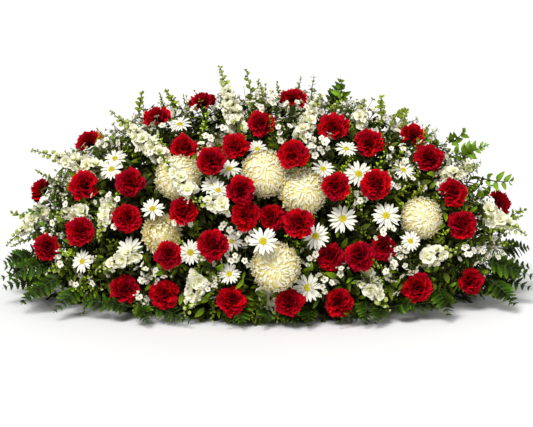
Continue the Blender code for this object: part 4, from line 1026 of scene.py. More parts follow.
class SprayCarnations(bpy.types.Operator):
    """Ruffled, notched petals of every red carnation, in a spiral from the middle out"""
    bl_idname = "casket_spray.carnations"
    bl_label = "Carnations"

    def execute(self, context):
        rng = np.random.default_rng(11)
        heads, count = heads_of("carnation"), sizes().carnation_petals
        pick, centre, axis, radius, turn, k = repeated(heads, count)
        n, share = len(k), (k + 0.5) / count
        # Degrees from the bloom's axis: upright in the middle, a little below level outside.
        tilt = np.radians(2 + 100 * share ** 0.85 + rng.uniform(-9, 9, n))
        out = spread(axis, turn + k * GOLDEN + rng.uniform(-0.4, 0.4, n))
        reach = rng.uniform(0.88, 1.04, n)
        phase = rng.uniform(0, math.tau, (n, 3, 1, 1))
        waves = ((rng.uniform(0.14, 0.32, (n, 1, 1)), 3.2), (0.07, 7.6), (0.015, 15))  # depth and rate

        def ruffle(u, v):
            return v ** 2 * sum(depth * np.sin(rate * u + phase[:, i])
                                for i, (depth, rate) in enumerate(waves))

        grid = petals(centre, out, axis, radius, base=(0.05, -0.45),
                      bend=pairs_of(0.06 + 0.34 * share, 0.16 - 0.18 * share),
                      tip=pairs_of(reach * np.sin(tilt), -0.12 + 0.80 * reach * np.cos(tilt)),
                      half=0.34 + 0.26 * share, outline=lambda v: 0.10 + 0.90 * v ** 1.4, rows=4,
                      columns=11, start=0.30, round_end=0.24, teeth=0.07, ruffle=ruffle,
                      sway=rng.uniform(-0.12, 0.12, n))
        bunch = Bunch()
        # The hearts take the near black foot of the petals' ramp: painted shade where the petals part.
        hearts(bunch, heads, wide=0.42, rise=-0.06, tall=0.40, along=(0.0, 0.25))
        # Petals of one bloom share part of their tint, so that blooms differ a little too.
        bunch.sheets(grid, 0.7 * rng.uniform(0, 1, n) + 0.3 * rng.uniform(0, 1, len(heads))[pick])
        bunch.finish("carnation_petals", "carnation_petal_velvet", "red_petals", "carnation")
        return {"FINISHED"}


def on_mum(angle, far):
    """A point at an angle from a chrysanthemum's axis and some radii away, on its flattened ball."""
    above, below = MUM_FLATNESS
    return pairs_of(far * np.sin(angle), far * np.where(np.cos(angle) > 0, above, below) * np.cos(angle))


class SprayMums(bpy.types.Operator):
    """Incurved petals of every cream chrysanthemum, evenly over a ball that is open at the stem"""
    bl_idname = "casket_spray.mums"
    bl_label = "Chrysanthemums"

    def execute(self, context):
        rng = np.random.default_rng(12)
        heads, count = heads_of("mum"), sizes().mum_petals
        _, centre, axis, radius, turn, k = repeated(heads, count)
        n, share = len(k), (k + 0.5) / count
        # Equal steps of the cosine, from 1 to -0.55, spread the petals evenly over the ball.
        polar = np.maximum(np.arccos(1 - 1.55 * share) + rng.uniform(-0.10, 0.10, n), 0.02)
        out = spread(axis, turn + k * GOLDEN + rng.uniform(-0.35, 0.35, n))
        rim = np.clip((share - 0.62) / 0.38, 0, 1)  # the outer petals open and point outwards
        # The spidery heads have four petals in five, longer and wider, and open.
        spidery = radius < SPIDERY_RADIUS
        reach = rng.uniform(0.95, 1.07, n) + (0.12 * rim + 0.20 * spidery) * rng.uniform(0, 1, n)
        grid = petals(centre, out, axis, radius, base=on_mum(polar + 0.40 - 0.15 * rim, 0.70 - 0.2 * rim),
                      bend=on_mum(polar + 0.32 - 0.20 * rim, 1.02 - 0.04 * rim),
                      tip=on_mum(np.maximum(polar - 0.10 + 0.12 * rim + 0.10 * spidery, 0.02), reach),
                      half=rng.uniform(0.046, 0.060, n) * (1 + 0.3 * spidery),
                      outline=profile([0, 0.3, 0.7, 0.9, 1], [0.6, 0.9, 1, 0.7, 0.2]),
                      start=0.15, bow=0.035, sway=rng.uniform(-0.13, 0.13, n))
        bunch = Bunch()
        kept = ~spidery | (k % 5 < 4)
        bunch.sheets(grid[kept], rng.uniform(0.45, 1, n)[kept])
        large = [h for h in heads if h["radius"] >= SPIDERY_RADIUS]
        small = [h for h in heads if h["radius"] < SPIDERY_RADIUS]
        # The hearts take the colour of the petals' yellow feet, partly painted shade, and show through the
        # gaps between them.
        hearts(bunch, large, wide=0.89, rise=0.0, tall=0.62, along=(0.10, 0.34))
        hearts(bunch, small, wide=0.66, rise=0.0, tall=0.45, along=(0.25, 0.60))
        bunch.finish("mum_petals", "chrysanthemum_petal_waxy", "cream_petals", "mum")
        return {"FINISHED"}


def daisy_discs(heads):
    """The discs as grids: domes of florets, every other one standing out by a tenth, with radius
    0.27 sin(p) and height 0.05 + 0.11 cos(p) at polar angle p, in the bloom's radii."""
    rings, florets = np.arange(7)[None, :, None], np.arange(14)[None, None, :]
    polar = np.linspace(0.03, 1.75, 7)[None, :, None]
    angle = florets * math.tau / 14
    centre, axis, radius, turn = (np.array([h[key] for h in heads])
                                  for key in ("centre", "axis", "radius", "turn"))
    first = spread(axis, turn)
    second = np.cross(axis, first)
    size = radius[:, None, None] * (1 + 0.10 * ((rings + florets) % 2))
    x = 0.27 * np.sin(polar) * np.cos(angle) * size
    y = 0.27 * np.sin(polar) * np.sin(angle) * size
    z = (0.05 + 0.11 * np.cos(polar)) * size
    return (centre[:, None, None] + x[..., None] * first[:, None, None]
            + y[..., None] * second[:, None, None] + z[..., None] * axis[:, None, None])


class SprayDaisies(bpy.types.Operator):
    """Two layers of long white petals and a domed yellow disc for every daisy"""
    bl_idname = "casket_spray.daisies"
    bl_label = "Daisies"

    def execute(self, context):
        rng = np.random.default_rng(13)
        # Daisies turn up to the light a little more than their stems do.
        heads = [dict(h, axis=unit(h["axis"] + [0, 0, 0.3])) for h in heads_of("daisy")]
        count = sizes().daisy_petals
        bunch, discs = Bunch(), Bunch()
        for layer, rise in ((0, 0.0), (1, 0.07)):
            _, centre, axis, radius, turn, k = repeated(heads, count)
            n = len(k)
            out = spread(axis, turn + (k + 0.5 * layer + rng.uniform(-0.2, 0.2, n)) * math.tau / count)
            tip = pairs_of(rng.uniform(0.93, 1.09, n) - 0.06 * layer, rise + rng.uniform(-0.12, 0.10, n))
            grid = petals(centre, out, axis, radius, base=(0.12, rise), bend=(0.55, 0.10 + rise), tip=tip,
                          half=rng.uniform(0.10, 0.13, n),
                          outline=profile([0, 0.3, 0.65, 0.88, 1], [0.45, 0.8, 1, 0.62, 0.15]),
                          rows=6, bow=0.05, sway=rng.uniform(-0.09, 0.09, n))
            bunch.sheets(grid, rng.uniform(0, 1, n))
        bunch.finish("daisy_petals", "daisy_petal_white", "white_petals", "daisy")
        discs.sheets(daisy_discs(heads), rng.uniform(0, 1, len(heads)), closed=True)
        discs.finish("daisy_discs", "daisy_disc_pollen", None, "daisy")
        return {"FINISHED"}


def spike_florets(spikes, rng):
    """The florets along each spike in a spiral: centre, axis, radius, turn and share from the tip.
    Each stands a golden angle on from the last; the share of floret i of n is (i + 0.5) / n to the
    power 1.25, which crowds them to the tip, and they grow from there down."""
    made = []
    for head in spikes:
        tip, base, radius = head["tip"], head["centre"], head["radius"]
        axis, length = unit(tip - base), np.linalg.norm(tip - base)
        count = max(8, round(length / (radius * FLORET_STEP)))
        share = ((np.arange(count) + 0.5) / count) ** 1.25
        size = radius * (0.30 + 0.98 * np.clip(1.7 * share - 0.16, 0, 1))
        out = spread(many(axis, count), head["turn"] + np.arange(count) * GOLDEN)
        face = unit(out + axis * rng.uniform(0.1, 0.6, (count, 1)))
        centre = tip - axis * (length * share)[:, None] + out * (size * 0.66)[:, None]
        made.append((centre, face, size, rng.uniform(0, math.tau, count), share))
    return [np.concatenate(parts) for parts in zip(*made)]


def floret_petals(bunch, florets, rng, per, base, bend, tip, half, columns=3, rows=4, ruffle=0.08):
    """Adds a ring of evenly turned petals, per of them, round each floret, which is given by its
    centre, axis, size, turn and tint; each petal waves by ruffle v sin(3 u)."""
    pick = np.repeat(np.arange(len(florets[0])), per)
    centre, axis, size, turn, tint = (part[pick] for part in florets)
    n = len(pick)
    around = np.tile(np.arange(per), len(florets[0])) * math.tau / per
    out = spread(axis, turn + around + rng.uniform(-0.15, 0.15, n))
    lift = rng.uniform(-0.12, 0.12, (n, 1)) * [[0, 1]]
    phase = rng.uniform(0, math.tau, (n, 1, 1))
    grid = petals(centre, out, axis, size, base, bend, np.array(tip) + lift, half,
                  lambda v: 0.25 + 0.75 * np.sin(math.pi * (0.1 + 0.72 * v)), rows=rows, columns=columns,
                  round_end=0.12, ruffle=lambda u, v: ruffle * v * np.sin(3 * u + phase))
    bunch.sheets(grid, np.clip(tint + rng.uniform(-0.2, 0.2, n), 0, 1))


class SpraySpikes(bpy.types.Operator):
    """Ruffled white florets up every spike, with closed lime buds towards the tip"""
    bl_idname = "casket_spray.spikes"
    bl_label = "White Spikes"

    def execute(self, context):
        rng = np.random.default_rng(14)
        *florets, share = spike_florets(heads_of("spike"), rng)
        florets.append(np.clip(rng.uniform(0, 1, len(share)) + 1.4 * (share - 0.62), 0, 1))
        opened, closed = ([part[pick] for part in florets]
                          for pick in (share > OPEN_FROM, share <= OPEN_FROM))
        whites, limes = Bunch(), Bunch()
        floret_petals(whites, opened, rng, per=5, base=(0.05, -0.30), bend=(0.45, -0.05),
                      tip=(0.92, 0.16), half=0.48, columns=5, ruffle=0.12)
        floret_petals(whites, opened, rng, per=3, base=(0.03, -0.10), bend=(0.22, 0.20),
                      tip=(0.36, 0.42), half=0.30, rows=3, ruffle=0.10)
        floret_petals(limes, closed, rng, per=4, base=(0.05, -0.35), bend=(0.62, 0.10),
                      tip=(0.05, 0.75), half=0.50)
        whites.finish("spike_florets", "stock_floret_white", "floret_white", "spike")
        limes.finish("spike_buds", "spike_bud_lime", None, "spike")
        return {"FINISHED"}


def wax_places():
    """Foot, tip and number of flowers of every waxflower cluster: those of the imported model, those
    seen in the photo and small ones over the whole dome."""
    places = [(h["centre"], h["tip"], WAX_FLOWERS) for h in heads_of("waxflower")]
    for across, up in WAX_CLUSTERS:
        foot, tip = (on_dome(across, up, 1, grow) for grow in (CLUSTER_FOOT, CLUSTER_TIP))
        places.append((foot, tip, WAX_FLOWERS))
    point = np.vstack([over_dome(count, lowest, np.random.default_rng(seed))
                       for count, lowest, seed in WAX_STREWN])
    point = point[clear_of_blooms(point, WAX_CLEAR)]
    return places + [(DOME_CENTRE + (p - DOME_CENTRE) * STREWN_FOOT, p, SMALL_WAX_FLOWERS) for p in point]


class SprayWaxflower(bpy.types.Operator):
    """Five-petalled waxflowers and their buds on thin branched stalks"""
    bl_idname = "casket_spray.waxflower"
    bl_label = "Waxflower"

    def execute(self, context):
        rng = np.random.default_rng(15)
        stalks, flowers, buds = Bunch(), [], []
        for foot, tip, count in wax_places():
            axis = unit(tip - foot)
            for _ in range(count):
                start = foot + (tip - foot) * rng.uniform(0.45, 0.95)
                away = unit(axis + rng.normal(0, 0.75, 3))
                end = start + away * rng.uniform(0.012, 0.030)
                middle = (start + end) / 2 + axis * 0.002
                tubes(stalks, [start, middle, end], [0.0007, 0.0006, 0.0005], sides=3)
                (flowers if rng.uniform() < WAX_OPEN else buds).append((end, away))
            tubes(stalks, [foot, tip], [0.0012, 0.0007], sides=4)

        def looks(group):
            """Centres, axes, number, turns and tints of a group."""
            n = len(group)
            return *map(np.array, zip(*group)), n, rng.uniform(0, math.tau, n), rng.uniform(0, 1, n)

        open_ones, closed_ones = Bunch(), Bunch()
        centre, axis, n, turn, tint = looks(flowers)
        floret_petals(open_ones, (centre, axis, rng.uniform(0.0058, 0.0084, n), turn, tint), rng,
                      per=5, base=(0.10, -0.05), bend=(0.5, 0.12), tip=(1.0, 0.16), half=0.42)
        floret_petals(closed_ones, (centre, axis, np.full(n, 0.0022), turn, tint), rng,
                      per=5, base=(0.2, -1.2), bend=(1.1, -0.2), tip=(0.5, 0.6), half=0.6, rows=3)
        centre, axis, n, turn, tint = looks(buds)
        floret_petals(closed_ones, (centre, axis, rng.uniform(0.0028, 0.004, n), turn, tint), rng,
                      per=4, base=(0.05, -0.6), bend=(1.1, 0.2), tip=(0.05, 0.9), half=0.7)
        open_ones.finish("waxflower_petals", "waxflower_petal", "wax_petals", "waxflower")
        closed_ones.finish("waxflower_buds", "waxflower_bud", None, "waxflower")
        stalks.finish("waxflower_stalks", "waxflower_stalk", None, "waxflower")
        return {"FINISHED"}


def leafy_stalk(bunch, foot, tip, reach, pairs, turn, width, rng, tint=0.5, arch=0.0, lean=(0.15, 0.5),
                facing=None):
    """Adds opposite pairs of leaves along a stalk, each pair turned square to the last, smaller
    towards the tip, with one leaf at the very tip; or, where a facing is given, all pairs in the
    plane across it. The stalk stands 4 arch s (1 - s) off the straight line at share s."""
    axis, length = unit(tip - foot), np.linalg.norm(tip - foot)
    n, share = 2 * pairs, np.repeat((np.arange(pairs) + 0.5) / pairs, 2)
    place = tip - axis * (length * share)[:, None] + (4 * share * (1 - share))[:, None] * arch
    place += axis * rng.uniform(-0.2, 0.2, (n, 1)) * length / pairs
    if facing is None:
        angle = turn + np.repeat(np.arange(pairs) % 2, 2) * math.pi / 2 + np.tile([0, math.pi], pairs)
        out, up = spread(many(axis, n), angle + rng.uniform(-0.6, 0.6, n)), many(axis, n)
        least, bend, last_up = 0.55, 0.28, out[:1]
    else:
        out = unit(np.tile([[1.0], [-1.0]], (pairs, 1)) * np.cross(axis, facing)
                   + axis * rng.uniform(0.5, 1.0, (n, 1)) + rng.normal(0, 0.15, (n, 3)))
        up = facing + rng.normal(0, 0.3, (n, 3))
        least, bend, last_up = 0.32, 0.08, facing
    size = reach * (least + (1 - least) * np.minimum(1.0, 2.0 * share)) * rng.uniform(0.85, 1.1, n)
    place, size = np.vstack([place, tip - axis * reach * 0.2]), np.append(size, reach * (least + 0.05))
    out, up = np.vstack([out, axis]), np.vstack([up, last_up])
    grid = petals(place, out, square_to(out, up), size, base=(0.04, 0.0), bend=(0.5, bend),
                  tip=pairs_of(1.0, rng.uniform(*lean, n + 1)), half=width,
                  outline=oval(0.04, 0.93, 0.85, 0.8), bow=0.10)
    bunch.sheets(grid, np.clip(tint + rng.uniform(-0.3, 0.3, n + 1), 0, 1))


class SpraySprigs(bpy.types.Operator):
    """Paired leaves of every eucalyptus and small-leaved sprig, and their stalks"""
    bl_idname = "casket_spray.sprigs"
    bl_label = "Sprigs"

    def execute(self, context):
        rng = np.random.default_rng(16)
        leaves, greens, stalks = Bunch(), Bunch(), Bunch()
        stands = [(h["centre"], h["tip"], h["radius"], h["pairs"], h["turn"], SPRIG_RADIUS)
                  for h in heads_of("eucalyptus", "greens")]
        for tip_x, tip_up, grow, foot_x, foot_up, reach, pairs in SMALL_SPRIGS:
            stands.append((on_dome(foot_x, foot_up, 1, CLUSTER_FOOT), on_dome(tip_x, tip_up, 1, grow),
                           reach * MM, pairs, rng.uniform(0, math.tau), SMALL_SPRIG_RADIUS))
        for foot, tip, reach, pairs, turn, thick in stands:
            first, second = basis(unit(tip - foot))
            arch = first * rng.normal(0, 0.5) + second * rng.normal(0, 0.5)
            arch = arch * SPRIG_ARCH * np.linalg.norm(tip - foot)
            if reach >= BROAD_REACH:
                leafy_stalk(greens, foot, tip, reach * 1.15, pairs + 1, turn, 0.23, rng, arch=arch,
                            lean=(-0.2, 0.1), facing=sight(1)[2])
            else:
                leafy_stalk(leaves, foot, tip, reach * 0.70, pairs + 4, turn, 0.40, rng, arch=arch,
                            lean=(0.1, 0.6))
            shares = (0, 0.33, 0.66, 1)
            path = [foot + (tip - foot) * share + 4 * share * (1 - share) * arch for share in shares]
            tubes(stalks, path, np.interp(shares, [0, 1], [thick, thick * 0.4]), sides=5)
        leaves.finish("eucalyptus_leaves", "eucalyptus_leaf_waxy", "sprig_green", "eucalyptus", "greens")
        greens.finish("broad_leaves", "ruscus_leaf_glossy", "leaf_green", "eucalyptus")
        stalks.finish("sprig_stalks", "sprig_stalk", None, "eucalyptus", "greens")
        return {"FINISHED"}


def fern_frond(bunch, stalks, foot, root, tip, half_width, rng):
    """Adds a frond: notched leaflets from both sides of a rib, longest near its foot. The rib stands
    4 arch s (1 - s) off the straight line at share s. The frond hangs out of the bed, so its face is
    turned up and out to the side that it hangs on."""
    along, pinnae = tip - root, sizes().pinnae
    facing = unit(np.array([0.25 * np.sign(root[0]), -1.0 if tip[1] < 100 * MM else 1.0, 0.9]))
    across = unit(np.cross(along, facing))
    normal = unit(np.cross(across, along))
    share = (np.arange(pinnae) + 0.3) / pinnae
    place = root + along * share[:, None] + (4 * FERN_ARCH * share * (1 - share))[:, None] * normal
    reach = half_width * 1.25 * np.minimum(1.0, 1.15 - share) * np.minimum(1.0, 0.66 + 1.2 * share)
    notches = [0.55, 1.0, 0.62, 0.96, 0.56, 0.84, 0.48, 0.66, 0.34, 0.44, 0.18, 0.03]
    for side in (1, -1):
        out = unit(many(unit(side * across + unit(along) * 0.50), pinnae) + rng.normal(0, 0.05, (pinnae, 3)))
        up = square_to(out, normal + rng.normal(0, 0.26, (pinnae, 3)))
        grid = petals(place, out, up, reach, base=(0.02, 0.0), bend=(0.5, 0.07),
                      tip=pairs_of(1.0, rng.uniform(-0.20, -0.02, pinnae)), half=0.31,
                      outline=profile(np.linspace(0, 1, 12), notches), rows=12, bow=-0.06)
        bunch.sheets(grid, np.clip(rng.uniform(0.25, 0.7) + rng.normal(0, 0.28, pinnae), 0, 1))
    path = [root + along * s + 4 * FERN_ARCH * s * (1 - s) * normal for s in (0, 0.33, 0.66, 1.0)]
    tubes(stalks, [foot] + path, [0.0016, 0.0014, 0.0011, 0.0008, 0.0003], sides=5)


class SprayFerns(bpy.types.Operator):
    """Leatherleaf fronds in fans round the foot, with notched leaflets in pairs on arched ribs"""
    bl_idname = "casket_spray.ferns"
    bl_label = "Ferns"

    def execute(self, context):
        rng = np.random.default_rng(17)
        fronds, stalks = Bunch(), Bunch()
        for foot, root, tip, half_width in layout()["fronds"]:
            at_end = abs(foot[0]) > END_FROM
            lift = FROND_LIFT * (1.0 if at_end else 0.55)
            # The outer fronds of a fan in front or behind stand off the floor and closer in.
            inward, upward = FAN_RAISE
            outer = abs(tip[1]) > 0.2 and abs(tip[0]) > 0.25
            raised = [0, inward * -np.sign(tip[1]), upward] if outer else 0
            fern_frond(fronds, stalks, foot + lift * 0.5, root + lift, tip + lift * 0.3 + raised,
                       half_width * (1.08 if at_end else 0.95), rng)
        for foot, tip, half_width in SMALL_FRONDS:
            foot, tip = np.array(foot) * MM, np.array(tip) * MM
            fern_frond(fronds, stalks, foot, foot + (tip - foot) * 0.12, tip, half_width * MM, rng)
        for path in layout()["trunks"]:
            tubes(stalks, path, [TRUNK_RADIUS * SLIM_TRUNK] * 2)
        fronds.finish("fern_leaflets", "leatherleaf_fern", "fern_green", "fern")
        stalks.finish("fern_ribs", "fern_rib", None, "fern")
        return {"FINISHED"}


def clear_of_blooms(points, gap):
    """Which points lie outside every bloom, whose radius is taken gap times."""
    heads = heads_of("carnation", "mum", "daisy")
    centres, radii = np.array([h["centre"] for h in heads]), np.array([h["radius"] for h in heads])
    apart = np.linalg.norm(points[:, None] - centres[None], axis=2)
    return (apart > radii[None] * gap).all(axis=1)


def over_dome(count, lowest, rng):
    """Up to so many points evenly over the dome's surface above a height."""
    away = unit(rng.normal(0, 1, (count * 4, 3)))
    point = DOME_CENTRE + away * DOME
    weight = np.linalg.norm(away / DOME, axis=1) * DOME.min()
    keep = (point[:, 2] > lowest) & (rng.uniform(0, 1, len(point)) < weight)
    return point[keep][:count]


def bed_core():
    """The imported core: the bed's outer and inner face as one closed shell. At polar angle p and turn
    t a face stands its axes times sin(p) cos(t), sin(p) sin(t) and cos(p) off the dome's centre, made
    lumpy by a product of sines, and its lowest part is drawn down to the foot."""
    rows, columns = 22, 96
    turn = np.arange(columns) * math.tau / columns

    def shell(inset, ordered):
        """One face, a certain depth under the dome, by its polar angles in order."""
        polar, angle = np.meshgrid(ordered, turn, indexing="ij")
        axes = DOME - inset
        point = np.stack([axes[0] * np.sin(polar) * np.cos(angle), axes[1] * np.sin(polar) * np.sin(angle),
                          axes[2] * np.cos(polar)], axis=-1)
        lump = 1 + CORE_LUMPS * np.sin(9 * angle + 5 * polar) * np.sin(polar) * np.cos(7 * polar)
        point = point * lump[..., None] + DOME_CENTRE
        down = BED_FOOT - point[..., 2]
        point[..., 2] += np.where(polar > CORE_BEND, (polar - CORE_BEND) / CORE_FALL * down, 0)
        return point

    polar = np.maximum(np.linspace(0, math.pi / 2, rows), 0.002)
    core = Bunch()
    core.sheets(np.concatenate([shell(BED_OUTER + 0.006, polar), shell(BED_INNER, polar[::-1])])[None],
                0.2, closed=True)
    core.finish("bed_core", "packed_greens_shade", "leaf_green", "bed")


def dome_leaves(count, rng):
    """Place, out, up, size and depth under the dome of the small leaves all over it."""
    point = over_dome(count, LEAF_LOWEST, rng)
    edge = ((np.abs(point[:, 0]) > FULL_ASIDE) | (point[:, 2] < FULL_BELOW))[:, None]
    depth = rng.uniform(np.where(edge, LEAF_EDGE_DEPTH, LEAF_DEPTH), BED_DEEPEST, (len(point), 1))
    away = point - DOME_CENTRE
    place = DOME_CENTRE + away * (1 - depth / np.linalg.norm(away, axis=1, keepdims=True))
    normal = unit(away / DOME**2)
    size = sizes().leaf_length * rng.uniform(0.6, 1.25, len(point))
    out = spread(normal, rng.uniform(0, math.tau, len(point)))
    out = unit(out + normal * rng.uniform(0.0, 1.0, (len(point), 1)))
    return place, out, square_to(out, normal), size, depth


def skirt_leaves(count, rng):
    """The same of leaves round the foot, which hang out and down, closer in away from the axes."""
    lap = rng.uniform(0, math.tau, count)
    height = rng.uniform(*SKIRT_HEIGHTS, len(lap))
    reach = np.sqrt(1 - ((height - DOME_CENTRE[2]) / DOME[2]) ** 2) * rng.uniform(*SKIRT_REACHES, len(lap))
    reach *= 1 - SKIRT_TUCK * np.abs(np.sin(2 * lap))
    around = np.stack([np.cos(lap), np.sin(lap), 0 * lap], axis=1)
    place = around * DOME * reach[:, None] + height[:, None] * [0, 0, 1]
    depth = rng.uniform(*SKIRT_DEPTHS, (len(lap), 1))
    out = unit(around + rng.normal(0, 0.5, around.shape) + [0, 0, -0.35])
    up = square_to(out, unit(around * 0.5 + [0, 0, 1.0]))
    return place, out, up, sizes().leaf_length * rng.uniform(0.9, 1.6, len(lap)), depth


def small_leaves(rng):
    """Thousands of small leaves where they don't run into a bloom or the floor, deeper ones darker as painted
    shade.
    """
    count = sizes().bed_leaves
    groups = dome_leaves(count, rng), skirt_leaves(count // 5, rng)
    place, out, up, size, depth = (np.concatenate(parts) for parts in zip(*groups))
    keep = clear_of_blooms(place, 1.0) & clear_of_blooms(place + out * size[:, None], 0.95)
    keep &= place[:, 2] > LEAF_FLOOR
    n = keep.sum()
    tip = pairs_of(1.0, rng.uniform(-0.35, 0.15, n))
    grid = petals(place[keep], out[keep], up[keep], size[keep], base=(0.0, 0.0), bend=(0.5, 0.14), tip=tip,
                  half=rng.uniform(0.15, 0.27, n), outline=oval(0.03, 0.94, 0.8, 0.85),
                  bow=rng.uniform(0.05, 0.14, n))
    # Painted shade: the deeper a leaf lies under the dome, the lower its tint and the darker it is.
    unshaded = 1 - depth[keep, 0] / BED_DEEPEST
    leaves = Bunch()
    leaves.sheets(grid, np.clip(-0.12 + 0.74 * unshaded ** 3 + rng.normal(0, 0.22, n), 0, 1))
    leaves.finish("bed_leaves", "filler_leaf", "leaf_green", "bed")


def leafy_tips(rng):
    """The broad leafy tips: four leafy arms and four broad leaves between them on each stalk."""
    broad = Bunch()
    quarter = np.arange(4)
    for middle, normal, reach, rise, angle in layout()["tips"]:
        for arm in spread(many(normal, 4), angle + quarter * math.pi / 2):
            end = middle + arm * reach + normal * rise
            leafy_stalk(broad, middle, end, 0.015, 4, rng.uniform(0, math.tau), 0.24, rng, 0.45)
            tubes(broad, [middle, middle + (end - middle) * 0.9], [0.0012, 0.0006], 0.4, sides=4)
        between = spread(many(normal, 4), angle + (quarter + 0.5) * math.pi / 2)
        lift = 0.5 + rng.uniform(-0.15, 0.3, 4)
        grid = petals(many(middle, 4), between, many(normal, 4), reach * 0.55, base=(0.0, 0.0),
                      bend=pairs_of(0.5, 0.12 + lift), tip=pairs_of(1.0, lift), half=0.24,
                      outline=oval(0.03, 0.95, 0.9, 0.9), rows=7, columns=5, bow=0.07)
        broad.sheets(grid, rng.uniform(0, 0.8, 4))
        tubes(broad, [middle - normal * BED_TIP_STALK, middle], [0.002, 0.0016])
    broad.finish("leafy_tips", "salal_leaf_glossy", "leaf_green", "bed")


class SprayBed(bpy.types.Operator):
    """The bed of greens: a dark packed core, broad leafy tips and thousands of small leaves"""
    bl_idname = "casket_spray.bed"
    bl_label = "Bed of Greens"

    def execute(self, context):
        rng = np.random.default_rng(18)
        bed_core()
        small_leaves(rng)
        leafy_tips(rng)
        return {"FINISHED"}


class SprayFiller(bpy.types.Operator):
    """Fine small-leaved sprigs that stand out of the bed between the blooms"""
    bl_idname = "casket_spray.filler"
    bl_label = "Filler Sprigs"

    def execute(self, context):
        rng = np.random.default_rng(19)
        filler, stalks = Bunch(), Bunch()
        point = over_dome(sizes().filler_sprigs, FILLER_LOWEST, rng)
        away = point - DOME_CENTRE
        lean = unit(unit(away / DOME**2) + rng.normal(0, 0.45, point.shape))
        far = np.linalg.norm(away, axis=1, keepdims=True)
        foot = DOME_CENTRE + away * (1 - rng.uniform(*FILLER_DEPTHS, far.shape) / far)
        tip = foot + lean * rng.uniform(*FILLER_LENGTHS, far.shape)
        keep = clear_of_blooms(tip, 1.02) & clear_of_blooms((foot + tip) / 2, 1.0) & (tip[:, 2] > 0.02)
        for start, end in zip(foot[keep], tip[keep]):
            pairs = max(4, round(np.linalg.norm(end - start) / FILLER_STEP))
            leafy_stalk(filler, start, end, rng.uniform(0.0055, 0.0095), pairs, rng.uniform(0, math.tau),
                        rng.uniform(0.26, 0.36), rng, rng.uniform(0.2, 1.1))
            tubes(stalks, [start, end], [0.0009, 0.0004], sides=3)
        filler.finish("filler_sprigs", "filler_sprig_leaf", "leaf_green", "bed")
        stalks.finish("filler_stalks", "filler_stalk", None, "bed")
        return {"FINISHED"}


class SprayStems(bpy.types.Operator):
    """Round stems from every bloom to its fork and on into the foam, and the blooms' green cups"""
    bl_idname = "casket_spray.stems"
    bl_label = "Stems"

    def execute(self, context):
        stems, cups = Bunch(), Bunch()
        for head in heads_of(*STEMMED):
            path = head["path"]
            thick = [STEM_RADIUS] * (len(path) - 2) + [TRUNK_RADIUS if head["trunk"] else STEM_RADIUS] * 2
            tubes(stems, path, np.array(thick) * SLIM_STEM, steps=10)
        for path in layout()["legs"]:
            tubes(stems, path, [LEG_RADIUS * SLIM_LEG] * 2, 0.3)
        for kind, rings in CUPS.items():
            for head in heads_of(kind):
                path = [head["centre"] + head["axis"] * head["radius"] * height for height, _ in rings]
                tubes(cups, path, [head["radius"] * wide for _, wide in rings], sides=10)
        for head in heads_of("spike"):
            tubes(stems, [head["centre"] - head["axis"] * head["back"], head["tip"]], [0.0020, 0.0008], 0.6)
        stems.finish("stems", "flower_stem", None, *STEMMED, "bed")
        cups.finish("calyxes", "calyx_green", None, *CUPS)
        return {"FINISHED"}


class SprayBase(bpy.types.Operator):
    """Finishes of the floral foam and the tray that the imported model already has"""
    bl_idname = "casket_spray.base"
    bl_label = "Foam and Tray"

    def execute(self, context):
        for name, finish in (("foam", "wet_floral_foam"), ("tray", "moulded_polypropylene")):
            made = moulded(finish)
            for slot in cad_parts[name].material_slots:
                slot.material = made
        return {"FINISHED"}


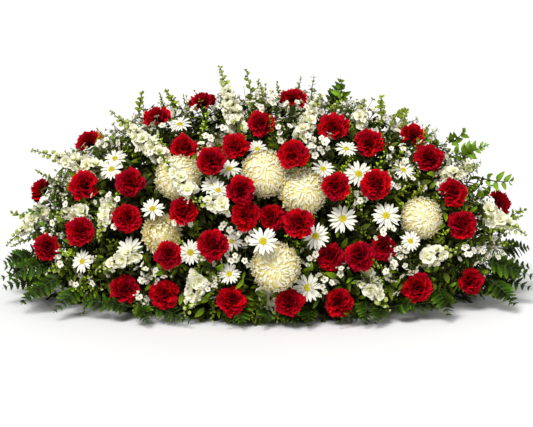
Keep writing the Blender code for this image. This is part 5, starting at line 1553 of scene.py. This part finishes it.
class SprayStage(bpy.types.Operator):
    """A plain white floor, soft light from above and the front, and the camera at the photo's angle"""
    bl_idname = "casket_spray.stage"
    bl_label = "Stage"

    def execute(self, context):
        scene = context.scene
        scene.view_settings.view_transform = "Standard"
        mesh = bpy.data.meshes.new("floor")
        far = FLOOR_REACH
        mesh.from_pydata([(-far, -far, 0), (far, -far, 0), (far, far, 0), (-far, far, 0)], [], [(0, 1, 2, 3)])
        floor = bpy.data.objects.new("floor", mesh)
        scene.collection.objects.link(floor)
        # Seamless paper: matt, even and just off white, so that it reads as a plain studio floor.
        paper = bpy.data.materials.new("seamless_paper")
        paper.use_nodes = True
        shader = paper.node_tree.nodes["Principled BSDF"]
        shader.inputs["Base Color"].default_value = linear("F7F7F7")
        shader.inputs["Roughness"].default_value = 0.9
        mesh.materials.append(paper)

        world = bpy.data.worlds.new("studio")
        world.use_nodes = True
        sky = world.node_tree.nodes["Background"]
        sky.inputs["Color"].default_value = (1, 1, 1, 1)
        sky.inputs["Strength"].default_value = WORLD_STRENGTH
        scene.world = world
        for name, (strength, soft, climb, turn) in LAMPS.items():
            lamp = bpy.data.lights.new(name, "SUN")
            lamp.energy, lamp.angle = strength, soft
            lit = bpy.data.objects.new(name, lamp)
            lit.rotation_euler = (math.pi / 2 - climb, 0, turn)
            scene.collection.objects.link(lit)

        across, up, towards = sight(1)
        aside, down = FRAME_WIDTH / 2 - ORIGIN_PIXEL[0], ORIGIN_PIXEL[1] - FRAME_HEIGHT / 2
        lens = bpy.data.cameras.new("camera")
        lens.sensor_width = SENSOR_MM
        lens.lens = SENSOR_MM * CAMERA_FAR / (FRAME_WIDTH * PIXEL)
        lens.clip_end = VIEW_END
        camera = bpy.data.objects.new("camera", lens)
        camera.location = across * aside * PIXEL + up * down * PIXEL + towards * CAMERA_FAR
        camera.rotation_euler = (math.pi / 2 - SIGHT_UP, 0, 0)
        scene.collection.objects.link(camera)
        scene.camera = camera
        return {"FINISHED"}


PIECES = (SprayBed, SprayFiller, SprayStems, SprayFerns, SpraySprigs, SprayWaxflower, SpraySpikes,
          SprayDaisies, SprayMums, SprayCarnations, SprayBase, SprayStage)


class SprayPanel(bpy.types.Panel):
    """Sizes, colours and pieces of the spray"""
    bl_idname = "VIEW3D_PT_casket_spray"
    bl_label = "Casket Spray"
    bl_space_type = "VIEW_3D"
    bl_region_type = "UI"
    bl_category = "Casket Spray"

    def draw(self, context):
        for group in (sizes(), colours()):
            box = self.layout.box()
            for key in group.bl_rna.properties.keys():
                if key not in {"rna_type", "name"}:
                    box.prop(group, key)
        for piece in PIECES:
            self.layout.operator(piece.bl_idname)


CLASSES = (SpraySizes, SprayColours, *PIECES, SprayPanel)


def register():
    """Registers the classes and gives the scene its sizes and colours."""
    for made in CLASSES:
        bpy.utils.register_class(made)
    bpy.types.Scene.casket_spray_sizes = PointerProperty(type=SpraySizes)
    bpy.types.Scene.casket_spray_colours = PointerProperty(type=SprayColours)


def unregister():
    """Takes back what register did, the other way round."""
    del bpy.types.Scene.casket_spray_colours
    del bpy.types.Scene.casket_spray_sizes
    for made in reversed(CLASSES):
        bpy.utils.unregister_class(made)


def main():
    """Builds every piece in order."""
    register()
    for piece in PIECES:
        group, name = piece.bl_idname.split(".")
        getattr(getattr(bpy.ops, group), name)()


if __name__ == "__main__":
    main()
